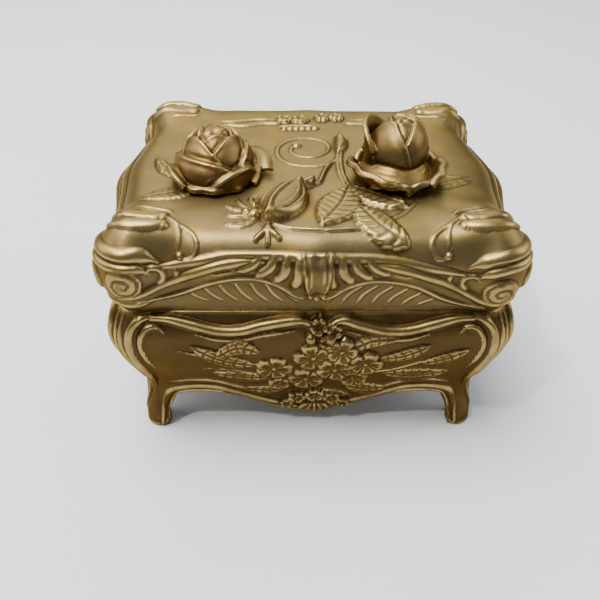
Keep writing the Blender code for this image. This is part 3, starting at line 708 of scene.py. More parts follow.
def close_shell(name, outer, quads, inner_rings, first_ring, material):
    """Closes a casting: its outer surface, rings down its inside, then a cap or the first ring again."""
    count = RIM.count
    points = [outer]
    faces = [tuple(q) for q in quads]
    previous = np.arange(count) if first_ring is None else first_ring
    total = len(outer)
    for ring in inner_rings:
        points.append(ring)
        current = np.arange(count) + total
        total += count
        band = ring_quads(previous, current)
        faces += [tuple(q[::-1]) for q in band] if first_ring is None else [tuple(q) for q in band]
        previous = current
    if first_ring is None:
        points.append(np.array([[0.0, 0.0, LID_CEILING_Z]]))
        faces += [(int(b), int(a), total) for a, b in zip(previous, np.roll(previous, -1))]
    else:
        faces += [tuple(q) for q in ring_quads(previous, np.arange(count))]
    obj = mesh_object(name, np.concatenate(points), faces, material)
    mark_wear_and_painted_light(obj)
    return obj


# ---------------------------------------------------------------- the body casting

def corner_mouldings(r, hand, half):
    """The strands down a corner to the foot, drawn back from the end of a side of the given half length."""
    path = on_side_of(hand, hand * half)
    r.ridge(path([(-18.0, 62.2), (-12.0, 64.2), (-7.0, 62.4), (-4.0, 58.6), (-3.2, 52.6), (-4.2, 44.6),
                  (-6.4, 36.0),
                  (-7.8, 29.0), (-7.2, 23.0)]), 1.9, 2.0, thin=(0.4, 0.25))
    r.ridge(path([(-16.4, 58.2), (-14.6, 60.2), (-10.8, 60.1), (-8.2, 57.4), (-7.4, 52.6), (-8.4, 46.6),
                  (-10.6, 39.4)]),
            1.3, 1.2)
    r.ridge(path([(0.4, 62.6), (1.0, 54.0), (0.2, 45.0), (-2.0, 35.0), (-3.0, 27.0)]), 1.5, 1.1,
            thin=(0.5, 0.25))


def apron_bead(r, low):
    """The thin raised edge that follows the apron and the legs."""
    above = r.v - low
    bead = 0.9 * smooth((2.6 - above) / 1.8) * smooth((above + 0.6) / 0.8)
    r.h = np.where(r.live, np.maximum(r.h, bead), r.h)


def body_front(r, low):
    """Ornament of a long side of the body; low is the height of the apron's edge at each vertex."""
    for hand in (-1, 1):
        path = on_side_of(hand)
        middle = 3.0 * hand  # the top and bottom motifs sit a little right of the middle
        r.ridge(path([(3.2 + middle, 56.4), (2.8 + middle, 60.2), (8.0 + middle, 62.4), (17.8, 60.8),
                      (26.5, 58.9),
                      (35.0, 59.0), (44.0, 61.0), (52.4, 63.0), (58.5, 63.6)]), 2.1, 2.1, thin=(0.5, 0.7))
        r.ridge(path([(10.0 + middle, 58.6), (18.5, 57.2), (26.5, 55.4), (35.5, 55.6), (43.0, 57.6)]), 1.1,
                0.8)
        r.ball(hand * 3.6 + 3.0, 56.0, 2.3, 2.6)
        corner_mouldings(r, hand, RIM_HALF_X)
        r.ridge(path([(1.0, 9.4), (4.4, 9.6), (11.5, 12.4), (21.5, 16.2), (31, 20.8), (39.5, 25.0),
                      (48.5, 25.4),
                      (55.6, 22.4), (59.2, 17.0), (61.6, 10.0), (63.0, 3.0)]), 1.9, 1.5, thin=(0.5, 0.5))
        r.ridge(path([(24, 21.4), (31, 25.2), (39.0, 29.2), (48.0, 30.0), (55.6, 27.4)]), 1.2, 0.8)
    r.blossom(2.2, 60.4, 3.6, 2.4, turn=15)
    r.blossom(8.2, 58.8, 3.2, 2.2, turn=40)
    r.blossom(5.2, 54.8, 3.0, 2.2, turn=70)
    apron_bead(r, low)


def flower_spray(r):
    """The spray of blossoms and leaves on the front of the body."""
    stems = ([(-42, 39), (-30, 38), (-16, 34), (0, 36), (16, 36), (30, 38), (44, 45), (56, 50)],
             [(-8, 30), (2, 40), (16, 50)],
             [(10, 34), (20, 28), (30, 22)], [(-20, 40), (-34, 46), (-50, 50)])
    for stem in stems:
        r.ridge(stem, 0.9, 0.8)
    leaves = (
        ((-22, 42), (-33, 45), (-45, 52.5), 4.0), ((-20, 50), (-28, 52), (-37, 47.0), 3.6),
        ((-17, 33), (-27, 33), (-38, 36.6), 4.2),
        ((-10, 26), (-17, 22), (-26, 24.0), 3.4), ((14, 51), (22, 55), (32, 56.0), 3.2),
        ((26, 46), (35, 48), (44, 53.0), 3.2), ((29, 36), (40, 34), (53, 37.6), 5.4),
        ((42, 43), (50, 46), (59, 51.0), 3.0), ((14, 26), (22, 23), (31, 24.4), 4.4),
        ((4, 22), (9, 19), (16, 18.6), 3.2),
    )
    for a, b, c, width in leaves:
        r.leaf([a, b, c], width, 1.15, teeth=9, veins=0.16, serrate=0.08)
    blossoms = (
        (-14.5, 39.5, 8.0), (-2.0, 31.5, 8.2), (20.5, 43.0, 7.6), (0.5, 46.5, 8.2), (11.0, 50.0, 6.8),
        (16.5, 32.5, 6.8),
        (9.0, 39.0, 8.4), (-12.5, 28.0, 5.0),
    )
    for k, (x, z, size) in enumerate(blossoms):
        r.blossom(x, z, size, 1.5 + 0.22 * (k % 3) + 0.4 * (k == 6), turn=37 * k)


def apron_flowers(r):
    """The cluster of blossoms over a fluted shell in the middle of the apron."""
    for k, (x, z, size) in enumerate(((-5.4, 17.4, 4.2), (9.0, 16.8, 4.2), (-9.8, 13.0, 3.0),
                                      (13.8, 13.2, 3.0), (1.8, 18.8, 4.6))):
        r.blossom(x, z, size, 2.3, turn=29 * k)
    for k in range(-2, 3):
        r.ridge([(2.0 + 1.4 * k, 13.0), (2.0 + 3.0 * k, 8.0 + 0.45 * k * k)], 1.35, 1.8, thin=(0.5, 1))


def body_side(r, low):
    """Ornament of a short side of the body: the same mouldings and a smaller spray."""
    for hand in (-1, 1):
        path = on_side_of(hand)
        r.ridge(path([(1.6, 57.6), (3.6, 61.0), (9.0, 62.6), (17.0, 60.4), (26.0, 59.0), (35.0, 61.0),
                      (42.0, 63.2),
                      (46.0, 63.6)]), 2.0, 2.0, thin=(0.5, 0.7))
        corner_mouldings(r, hand, RIM_HALF_Y)
        r.ridge(path([(1.0, 9.6), (8.0, 12.0), (15.5, 16.4), (24.0, 21.4), (31.0, 25.2), (38.0, 25.0),
                      (43.6, 20.8),
                      (47.2, 13.0), (49.6, 4.0)]), 1.9, 1.5, thin=(0.5, 0.5))
        r.ridge(path([(15.0, 20.6), (22.0, 25.4), (30.0, 29.4), (38.0, 29.4)]), 1.2, 0.8)
        r.leaf(path([(12, 40), (20, 44), (30, 50)]), 3.4, 1.8, teeth=9, veins=0.16, serrate=0.08)
        r.leaf(path([(14, 34), (23, 34), (33, 38)]), 3.2, 1.8, teeth=9, veins=0.16, serrate=0.08)
        r.leaf(path([(8, 28), (15, 25), (22, 27)]), 2.8, 1.7, teeth=9, veins=0.16, serrate=0.08)
        r.ball(hand * 12.0, 47.5, 1.5, 2.0)
        r.ridge(path([(6, 36), (16, 38), (28, 44)]), 0.7, 1.0)
    for k, (x, z, size) in enumerate(((-10.0, 38.0, 6.4), (10.0, 38.0, 6.4), (-5.4, 29.6, 5.6),
                                      (6.0, 29.8, 5.6), (0, 49.6, 5.6),
                                      (0, 39.6, 7.4), (0, 59.6, 3.6), (-6.0, 15.2, 3.6), (6.0, 15.2, 3.6),
                                      (0, 17.4, 4.2))):
        r.blossom(x, z, size, 1.6 + 0.25 * (k % 4), turn=33 * k)
    apron_bead(r, low)


def make_body(material):
    low = apron_z()
    rings = []
    for share in np.linspace(0, 1, BODY_ROWS + 1):
        z = mix(low, BODY_RIM_Z, share)
        rings.append(RIM.point(body_offset(z), z))
    points = np.concatenate(rings)
    count = RIM.count
    quads = np.concatenate([ring_quads(np.arange(count) + k * count, np.arange(count) + (k + 1) * count)
                            for k in range(BODY_ROWS)])
    station = np.tile(np.arange(count), BODY_ROWS + 1)
    from_rim = np.minimum(points[:, 2] - low[station], BODY_RIM_Z - points[:, 2])
    points, _, soft_normals = prepared(points, quads, from_rim)
    height = np.zeros(len(points))
    z, edge_z = points[:, 2], low[station]
    for back in (False, True):
        facing = RIM.faces_front[station] & ((RIM.sign_y[station] > 0) == back)
        u = -RIM.u_face[station] if back else RIM.u_face[station]
        r = Relief(u, z, facing)
        body_front(r, edge_z)
        flower_spray(r)
        apron_flowers(r)
        height = np.where(facing, r.h * (clear_of_hinges(u, z) if back else 1), height)
    for right in (False, True):
        facing = ~RIM.faces_front[station] & ((RIM.sign_x[station] > 0) == right)
        r = Relief(RIM.u_side[station], z, facing)
        body_side(r, edge_z)
        height = np.where(facing, r.h, height)
    height *= smooth((BODY_RIM_Z - 0.3 - z) / 1.4) * smooth((z + 0.4) / 2.2)
    outer = points + soft_normals * height[:, None]
    outer[:, 2] = np.where(points[:, 2] < 0.4, points[:, 2], np.maximum(outer[:, 2], 0.0))
    inner = [RIM.point(body_offset(z_in) - WALL, z_in) for z_in in BODY_INNER_Z]
    inner.append(RIM.point(body_offset(LEDGE_Z) - LEDGE_WALL, LEDGE_Z))
    for share in (0.6, 0.3, 0.0):
        z_in = mix(low, LEDGE_Z, share)
        inner.append(RIM.point(body_offset(z_in) - LEDGE_WALL, z_in))
    return close_shell("chased_body", outer, quads, inner, np.arange(count) + BODY_ROWS * count, material)


# ---------------------------------------------------------------- cast roses

def sheet_solid(outer, thickness):
    """A closed curled sheet from a grid of points (rows by columns), thickened to the inside."""
    rows, columns = outer.shape[:2]
    du, dv = np.gradient(outer, axis=0), np.gradient(outer, axis=1)
    normal = np.cross(dv, du)
    normal /= np.linalg.norm(normal, axis=2)[..., None] + 1e-9
    inner = outer + normal * thickness
    points = np.concatenate([outer.reshape(-1, 3), inner.reshape(-1, 3)])
    number = np.arange(rows * columns).reshape(rows, columns)
    back = number + rows * columns
    faces = []
    for a, flip in ((number, False), (back, True)):
        q = np.stack([a[:-1, :-1], a[:-1, 1:], a[1:, 1:], a[1:, :-1]], axis=-1).reshape(-1, 4)
        faces += [tuple(f[::-1]) if flip else tuple(f) for f in q]
    border = [*number[0, :], *number[1:, -1], *number[-1, :-1][::-1], *number[1:-1, 0][::-1]]
    for a, b in zip(border, border[1:] + border[:1]):
        faces.append((b, a, a + rows * columns, b + rows * columns))
    return points, faces


def petal(centre, turn, width, foot, top, height, base_z=-0.5, flare=1.2, roll=1.2, dip=0.4, wave=0.0,
          phase=0.0,
          thick=1.4):
    """One petal standing round a centre.

    turn and width are angles in degrees, foot and top its distances from the centre, and roll how far its lip
    curls out.
    """
    t = np.linspace(0, 1, 34)[:, None]
    a = np.linspace(-1, 1, 41)[None, :]
    shrink = mix(0.55, 1.0, smooth(t / 0.55))
    angle = np.radians(turn + width * a * shrink)
    crown = 1 - dip * np.abs(a) ** 2.4
    z = base_z + (height - base_z) * t**0.9 * crown
    radius = mix(foot, top, t ** (1 / flare)) + wave * np.sin(3.2 * a * math.pi + phase) * t**2
    lip = smooth((t - 0.76) / 0.24)
    radius = radius + roll * lip
    z = z - 0.75 * roll * lip**2.2
    x = centre[0] + radius * np.cos(angle)
    y = centre[1] + radius * np.sin(angle)
    return sheet_solid(np.stack([x, y, z], axis=-1), thick)


def turned_faces(rows, sides):
    """The faces of a closed turned form: bands between its rings, and a cap at each end."""
    faces = []
    for k in range(rows - 1):
        low = k * sides + np.arange(sides)
        faces += [tuple(q) for q in ring_quads(low, low + sides)]
    faces.append(tuple(reversed(range(sides))))
    faces.append(tuple(range((rows - 1) * sides, rows * sides)))
    return faces


def lathe(rows, centre, sides=40):
    """A closed turned form from (radius, z) rows."""
    points = []
    for radius, z in rows:
        for s in range(sides):
            a = 2 * math.pi * s / sides
            points.append((centre[0] + radius * math.cos(a), centre[1] + radius * math.sin(a), z))
    return np.array(points), turned_faces(len(rows), sides)


def fuse(name, parts, place, size, material):
    """Joins closed parts into one casting: scaled, voxel remeshed, softened and marked for rubbing and for
    painted shade and highlight.
    """
    points, faces, total = [], [], 0
    for part_points, part_faces in parts:
        points.append(part_points * np.array(size) + np.array(place))
        faces += [tuple(i + total for i in f) for f in part_faces]
        total += len(part_points)
    obj = mesh_object(name, np.concatenate(points), faces, material)
    remesh = obj.modifiers.new("fuse", "REMESH")
    remesh.mode, remesh.voxel_size, remesh.use_smooth_shade = "VOXEL", 0.45 * MM, True
    soften = obj.modifiers.new("soften", "SMOOTH")
    soften.factor, soften.iterations = 0.5, 2
    apply_modifiers(obj)
    obj.data.materials.clear()
    obj.data.materials.append(material)
    mark_wear_and_painted_light(obj, wide_rounds=22)
    return obj


def apply_modifiers(obj):
    bpy.context.view_layer.update()
    graph = bpy.context.evaluated_depsgraph_get()
    mesh = bpy.data.meshes.new_from_object(obj.evaluated_get(graph))
    obj.modifiers.clear()
    obj.data = mesh
    mesh.shade_smooth()


def whorled(profile, petals, centre, lean, sides=300):
    """A turned core with petals wrapped round it, each a smooth step with a raised lip and a crease above it.

    profile runs (radius, z) from the foot to the crown; lean is how far the crown stands off the foot in x and y.
    A petal is (turn, half width in degrees, where it ends at its sides, at its tip, thickness, lip, slant), with
    its ends as shares of the way up.
    """
    line = curve_through(profile, 0.2)
    way = np.linspace(0, 1, len(line))[:, None]
    out = np.stack([np.gradient(line[:, 1]), -np.gradient(line[:, 0])], axis=1)
    out /= np.linalg.norm(out, axis=1, keepdims=True)
    a = np.linspace(0, 2 * math.pi, sides, endpoint=False)[None, :]
    height = np.zeros((len(line), sides))
    for turn, half, low, tip, level, lip, slant in petals:
        u = (np.degrees(a) - turn + 180) % 360 - 180
        u = u / half
        edge = tip - (tip - low) * np.abs(u) ** 2.3 + slant * u
        into = edge - way
        cover = smooth(into / 0.02 + 0.5) * smooth((1.05 - np.abs(u)) / 0.08)
        crest = lip * np.exp(-(((into - 0.025) / 0.022) ** 2)) * smooth((1.02 - np.abs(u)) / 0.1)
        crease = 0.45 * np.exp(-(((into + 0.035) / 0.03) ** 2)) * smooth((1.05 - np.abs(u)) / 0.1)
        belly = 0.35 * level * np.exp(-(((into - 0.16) / 0.12) ** 2)) * smooth((1 - np.abs(u)) / 0.4)
        height = height - crease * (1 - cover)
        height = mix(height, np.maximum(height, level + belly), cover) + crest
    fold = np.abs(np.sin(a * 1.5 + way * 6))  # the curled folds at the crown
    height = height + 0.5 * (fold - 0.5) * smooth((way - 0.78) / 0.06) * smooth((0.985 - way) / 0.03)
    radius = np.maximum(line[:, :1] + out[:, :1] * height, 0.05)
    z = line[:, 1:] + out[:, 1:] * height
    rise = z / max(z.max(), 1e-6)
    x = centre[0] + lean[0] * rise + radius * np.cos(a)
    y = centre[1] + lean[1] * rise + radius * np.sin(a)
    points = np.stack([x, y, z + 0 * a], axis=-1).reshape(-1, 3)
    return points, turned_faces(len(line), sides)


def make_rose_left(material):
    """An open rose: a whorled bud in overlapping petals, and low open petals round its foot."""
    core = [(8.6, -0.6), (9.8, 1.6), (11.0, 4.0), (10.8, 6.6), (9.4, 9.4), (7.6, 12.0), (5.4, 14.2),
            (3.4, 15.6), (1.6, 16.1),
            (0.3, 16.2)]
    petals = [
        (-78, 70, 0.56, 0.83, 0.35, 0.35, 0.05),
        (70, 110, 0.58, 0.82, 0.35, 0.3, 0.0),
        (170, 80, 0.5, 0.84, 0.5, 0.3, 0.02),
        (-35, 75, 0.38, 0.74, 0.8, 0.45, 0.03),
        (-135, 72, 0.36, 0.73, 0.9, 0.45, -0.03),
        (50, 80, 0.38, 0.72, 1.0, 0.4, 0.0),
        (140, 66, 0.36, 0.68, 1.1, 0.4, 0.0),
        (-128, 98, 0.16, 0.47, 1.9, 0.55, 0.02),
        (0, 60, 0.2, 0.50, 1.7, 0.5, 0.05),
        (86, 76, 0.16, 0.48, 2.0, 0.5, 0.0),
        (-58, 62, 0.02, 0.33, 2.6, 0.6, 0.10),
        (-150, 50, 0.0, 0.28, 2.9, 0.5, -0.08),
        (40, 52, 0.0, 0.30, 2.8, 0.5, 0.0),
        (120, 60, 0.0, 0.30, 2.8, 0.5, 0.0),
    ]
    foot = (0.0, 1.6)
    parts = [
        whorled(core, petals, foot, (0.4, 3.6)),
        petal(foot, -92, 52, 9.0, 12.6, 3.6, dip=0.2, wave=0.5, thick=1.5),
        petal(foot, -158, 34, 9.0, 14.4, 7.0, roll=0.8, dip=0.45),
        petal(foot, 34, 30, 9.4, 18.6, 6.2, roll=1.3, dip=0.45, flare=1.0, thick=1.5),
        petal(foot, 4, 30, 9.4, 14.6, 4.0, roll=1.0, flare=1.0),
        petal(foot, 82, 34, 9.4, 13.8, 5.0, flare=1.0),
        petal(foot, 136, 36, 9.4, 14.2, 4.6, flare=1.0),
    ]
    return fuse("cast_rose_left", parts, (-37.0, -17.6, 97.0), (1.13, 1.15, 1.15), material)


def make_rose_right(material):
    """A tall half-open rose: an egg-shaped bud with two petals behind it, in a wide wavy collar."""
    core = [(7.4, -0.6), (7.8, 1.6), (8.6, 4.6), (9.6, 8.2), (9.4, 11.8), (8.2, 14.6), (6.4, 16.8),
            (4.4, 18.4), (2.2, 19.1),
            (0.3, 19.2)]
    petals = [
        (-92, 70, 0.74, 0.90, 0.3, 0.3, 0.04),
        (60, 100, 0.70, 0.89, 0.4, 0.3, 0.0),
        (170, 80, 0.66, 0.88, 0.5, 0.3, 0.02),
        (-30, 78, 0.30, 0.84, 0.75, 0.4, 0.02),
        (-140, 72, 0.30, 0.85, 0.95, 0.4, 0.0),
        (50, 78, 0.3, 0.80, 1.2, 0.45, 0.0),
        (-128, 84, 0.05, 0.30, 2.4, 0.5, 0.05),
        (-24, 66, 0.05, 0.26, 2.2, 0.5, -0.03),
        (70, 80, 0.05, 0.34, 2.0, 0.5, 0.0),
    ]
    foot = (0.4, 1.6)
    parts = [
        whorled(core, petals, (0.8, 2.2), (1.4, 4.4)),
        lathe([(14.2, -0.5), (14.0, 1.4), (13.0, 2.8), (11.6, 4.0), (10.4, 5.0), (8.0, 6.6)], foot),
        petal((1.6, 5.8), 158, 62, 9.0, 11.4, 18.8, 0.5, roll=0.6, flare=2.4, thick=1.7),
        petal((1.0, 3.6), 100, 50, 9.0, 12.4, 13.0, 0.5, roll=1.0, flare=1.8, thick=1.6),
        petal(foot, -146, 50, 10.6, 15.8, 8.8, roll=1.0, dip=0.2, flare=1.3, wave=0.7, phase=0.6, thick=2.0),
        petal(foot, -98, 36, 11.0, 14.2, 6.0, dip=0.25, wave=0.5, phase=2.4, thick=2.0),
        petal(foot, -60, 24, 11.0, 15.0, 6.6, roll=1.3, dip=0.5, thick=2.0),
        petal(foot, -14, 38, 11.0, 16.8, 8.4, dip=0.35, wave=0.4, thick=2.0),
        petal(foot, 34, 34, 11.0, 15.8, 7.2, thick=1.9),
        petal(foot, 76, 34, 11.0, 15.2, 6.4, thick=1.9),
        petal(foot, 122, 36, 11.0, 15.0, 7.6, thick=1.9),
    ]
    return fuse("cast_rose_right", parts, (31.4, -16.6, 97.0), (1.04, 1.09, 1.10), material)


# ---------------------------------------------------------------- silk lining

def copy_of(node, name):
    """A new object with a copy of a CAD node's mesh, without its material and its own normals."""
    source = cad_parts[node]
    obj = bpy.data.objects.new(name, source.data.copy())
    bpy.context.scene.collection.objects.link(obj)
    obj.matrix_world = source.matrix_world.copy()
    obj.data.transform(obj.matrix_world)
    obj.matrix_world = Matrix.Identity(4)
    obj.data.materials.clear()
    for key in [key for key in obj.data.attributes.keys() if key.startswith("custom_normal")]:
        obj.data.attributes.remove(obj.data.attributes[key])
    return obj


def set_positions(mesh, points):
    mesh.vertices.foreach_set("co", points.astype(np.float32).ravel())
    mesh.update()


def remeshed(obj, voxel):
    remesh = obj.modifiers.new("even", "REMESH")
    remesh.mode, remesh.voxel_size, remesh.use_smooth_shade = "VOXEL", voxel * MM, True
    apply_modifiers(obj)


def plump(obj, pressure, cap, shrink=0.25):
    """Cloth under pressure: the pad swells from a slightly smaller shape, no point past the cap."""
    mesh = obj.data
    small = positions(mesh) - normals_of(mesh) * shrink * MM
    set_positions(mesh, small)
    cloth = obj.modifiers.new("cloth", "CLOTH")
    settings = cloth.settings
    settings.quality = 6
    settings.mass = 0.02
    settings.use_pressure = True
    settings.uniform_pressure_force = pressure
    settings.tension_stiffness = settings.compression_stiffness = 12
    settings.bending_stiffness = 0.6
    settings.effector_weights.gravity = 0.0
    cloth.point_cache.frame_start, cloth.point_cache.frame_end = 1, 20
    scene = bpy.context.scene
    for k in range(1, 21):
        scene.frame_set(k)
    graph = bpy.context.evaluated_depsgraph_get()
    swollen = positions(obj.evaluated_get(graph).to_mesh())
    obj.evaluated_get(graph).to_mesh_clear()
    obj.modifiers.clear()
    scene.frame_set(1)
    move = swollen - small
    far = np.linalg.norm(move, axis=1)[:, None]
    move *= np.minimum(1, cap * MM / np.maximum(far, 1e-9))
    set_positions(mesh, small + move)
    obj.data.shade_smooth()


def stretched(obj, axes, more):
    """Lengthens a pad at both ends along the given axes, in mm, so that it presses on its neighbours."""
    points = positions(obj.data)
    for axis in axes:
        half = np.abs(points[:, axis]).max()
        points[:, axis] *= 1 + more * MM / half
    set_positions(obj.data, points)


def finish_pad(obj, folds):
    """One subdivision, then gathers sewn into the silk: folds gives a displacement in mm along the normal."""
    level = obj.modifiers.new("finer", "SUBSURF")
    level.levels = level.render_levels = 1
    apply_modifiers(obj)
    points, normals = positions(obj.data), normals_of(obj.data)
    set_positions(obj.data, points + normals * folds(points / MM, normals)[:, None] * MM)


def gathers(run, height, pitch, depth, low, high):
    """Soft vertical gathers along a run of cloth, deepest at its sewn edges (low and high)."""
    wander = 1.4 * np.sin(run * 0.11 + 0.7) + 0.8 * np.sin(run * 0.29 + height * 0.05)
    wave = np.sin(2 * math.pi * (run + wander) / pitch)
    wave = wave + 0.45 * np.sin(2 * math.pi * (run * 1.7 + wander) / pitch + 1.1)
    share = np.clip((height - low) / (high - low), 0, 1)
    pull = 0.45 + 0.55 * np.abs(2 * share - 1) ** 1.5
    return depth * pull * wave * 0.6


def make_pad(node, name, body, material, voxel, cap, stretch_axes, more, folds):
    """A padded silk piece in place of a CAD pad: swollen, pressed on its neighbours, then sewn."""
    pad = copy_of(node, name)
    remeshed(pad, voxel)
    plump(pad, 3.0, cap)
    stretched(pad, stretch_axes, more)
    finish_pad(pad, folds)
    pad.data.materials.append(material)
    piece(pad, body, [node])


def make_wall_pads(material):
    for side, axis, inward in (
        ("front", 0, (0, 1, 0)), ("back", 0, (0, -1, 0)), ("left", 1, (1, 0, 0)), ("right", 1, (-1, 0, 0)),
    ):
        def folds(points, normals, axis=axis, inward=inward):
            facing = smooth(((normals * np.array(inward)).sum(1) - 0.1) / 0.6)
            return gathers(points[:, axis], points[:, 2], 4.6, 0.42, 27.0, 62.4) * facing - 0.1

        make_pad(f"wall_pad_{side}", f"silk_wall_{side}", "casket", material, 1.25, 0.35, (axis,), 1.3, folds)


def tufted(points, normals, pitch_x, pitch_y, half_x, half_y, down):
    """Diamond tufting: buttons pulled in on a lattice, with folds between neighbours."""
    x, y = points[:, 0], points[:, 1]
    facing = smooth((normals[:, 2] * (-1 if down else 1) - 0.2) / 0.5)
    inside = smooth((half_x - np.abs(x)) / 6) * smooth((half_y - np.abs(y)) / 6)
    a, b = x / pitch_x + y / pitch_y, x / pitch_x - y / pitch_y
    fold_a, fold_b = np.abs(a - np.round(a)), np.abs(b - np.round(b))
    crease = np.exp(-((fold_a / 0.07) ** 2)) + np.exp(-((fold_b / 0.07) ** 2))
    button = np.exp(-((np.hypot(fold_a, fold_b) / 0.13) ** 2))
    return -facing * inside * (0.42 * np.minimum(crease, 1) + 1.0 * button) - 0.1


def make_flat_pads(material):
    make_pad("floor_pad", "silk_floor", "casket", material, 1.5, 0.5, (0, 1), 0.9,
             lambda points, normals: tufted(points, normals, 30.0, 24.0, 60.0, 47.0, False))
    make_pad("lid_pad", "silk_lid", "lid", material, 1.5, 0.5, (), 0.0,
             lambda points, normals: tufted(points, normals, 30.0, 24.0, 62.0, 49.0, True))


def make_gimp(name, offset, z, node, body, material):
    """A trimming cord of two strands twisted round each other along the inside of a rim."""
    ring = RIM.point(offset, z)
    ring = np.concatenate([ring, ring[:1]])
    run = np.concatenate([[0], np.cumsum(np.linalg.norm(np.diff(ring, axis=0), axis=1))])
    turns = int(run[-1] / 3.4)
    steps = turns * 10
    at = np.linspace(0, run[-1], steps, endpoint=False)
    middle = np.stack([np.interp(at, run, ring[:, k]) for k in range(3)], axis=1)
    ahead = np.roll(middle, -1, axis=0) - np.roll(middle, 1, axis=0)
    ahead /= np.linalg.norm(ahead, axis=1)[:, None]
    up = np.broadcast_to(np.array([0.0, 0.0, 1.0]), ahead.shape)
    side = np.cross(ahead, up)
    points, faces = [], []
    for strand in range(2):
        angle = 2 * math.pi * turns * np.arange(steps) / steps + math.pi * strand
        core = middle + 0.5 * (np.cos(angle)[:, None] * side + np.sin(angle)[:, None] * up)
        base = strand * steps * 8
        for k in range(8):
            a = 2 * math.pi * k / 8
            points.append(core + 0.62 * (math.cos(a) * side + math.sin(a) * up))
        for k in range(8):
            low = base + k * steps + np.arange(steps)
            high = base + (k + 1) % 8 * steps + np.arange(steps)
            faces += [tuple(q) for q in ring_quads(low, high)]
    cord = mesh_object(name, np.concatenate(points), faces, material)
    piece(cord, body, [node])


# ---------------------------------------------------------------- materials

class Nodes:
    """A material's node tree with short calls for the nodes used here."""

    def __init__(self, name):
        self.material = bpy.data.materials.new(name)
        self.material.use_nodes = True
        self.tree = self.material.node_tree
        self.shader = self.tree.nodes["Principled BSDF"]
        self.place = self.tree.nodes.new("ShaderNodeTexCoord").outputs["Object"]

    def link(self, source, target):
        self.tree.links.new(source, target)

    def constant(self, **values):
        for key, value in values.items():
            self.shader.inputs[key.replace("_", " ")].default_value = value

    def noise(self, scale, detail=3.0, rough=0.5, stretch=None):
        node = self.tree.nodes.new("ShaderNodeTexNoise")
        node.inputs["Scale"].default_value = scale
        node.inputs["Detail"].default_value = detail
        node.inputs["Roughness"].default_value = rough
        self.link(self.stretched(stretch), node.inputs["Vector"])
        return node.outputs["Fac"]

    def stretched(self, stretch):
        if stretch is None:
            return self.place
        node = self.tree.nodes.new("ShaderNodeMapping")
        node.inputs["Scale"].default_value = stretch
        self.link(self.place, node.inputs["Vector"])
        return node.outputs["Vector"]

    def wave(self, scale, direction, distortion=0.0):
        node = self.tree.nodes.new("ShaderNodeTexWave")
        node.bands_direction = direction
        node.inputs["Scale"].default_value = scale
        node.inputs["Distortion"].default_value = distortion
        self.link(self.place, node.inputs["Vector"])
        return node.outputs["Fac"]

    def ramp(self, source, stops):
        node = self.tree.nodes.new("ShaderNodeValToRGB")
        self.link(source, node.inputs["Fac"])
        elements = node.color_ramp.elements
        while len(elements) < len(stops):
            elements.new(0.5)
        for element, (at, value) in zip(elements, stops):
            element.position = at
            element.color = (*value, 1) if isinstance(value, tuple) else (value, value, value, 1)
        return node.outputs["Color"]

    def blend(self, factor, first, second, kind="MIX"):
        node = self.tree.nodes.new("ShaderNodeMix")
        node.data_type, node.blend_type = "RGBA", kind
        for socket, value in ((node.inputs["Factor"], factor), (node.inputs[6], first),
                              (node.inputs[7], second)):
            if isinstance(value, (int, float)):
                socket.default_value = value
            elif isinstance(value, tuple):
                socket.default_value = (*value, 1)
            else:
                self.link(value, socket)
        return node.outputs[2]

    def math(self, kind, first, second=0.0):
        node = self.tree.nodes.new("ShaderNodeMath")
        node.operation = kind
        for socket, value in zip(node.inputs, (first, second)):
            if isinstance(value, (int, float)):
                socket.default_value = value
            else:
                self.link(value, socket)
        return node.outputs[0]

    def wear_and_painted_light(self):
        node = self.tree.nodes.new("ShaderNodeAttribute")
        node.attribute_name = "wear_and_painted_light"
        split = self.tree.nodes.new("ShaderNodeSeparateColor")
        self.link(node.outputs["Color"], split.inputs["Color"])
        return split.outputs["Red"], split.outputs["Green"], node.outputs["Alpha"]

    def bump(self, height, strength, distance):
        node = self.tree.nodes.new("ShaderNodeBump")
        node.inputs["Strength"].default_value = strength
        node.inputs["Distance"].default_value = distance
        self.link(height, node.inputs["Height"])
        self.link(node.outputs["Normal"], self.shader.inputs["Normal"])


BRIGHT_GRAIN, THIN_COPPER, YELLOW_GOLD = (0.50, 0.37, 0.14), (0.26, 0.115, 0.05), (0.33, 0.215, 0.042)
# Painted shade on upright faces, in wide hollows and in fine hollows
UPRIGHT_SHADE, WIDE_HOLLOW_SHADE, FINE_HOLLOW_SHADE = (0.040, 0.022, 0.007), (0.07, 0.038, 0.013), (0.07, 0.04, 0.018)
# Crest colour, partly rubbed gilt and partly a painted highlight; then the crests' gloss
RUBBED_GOLD_AND_HIGHLIGHT, RUBBED_GLOSS = (0.56, 0.41, 0.15), (0.15, 0.15, 0.15)


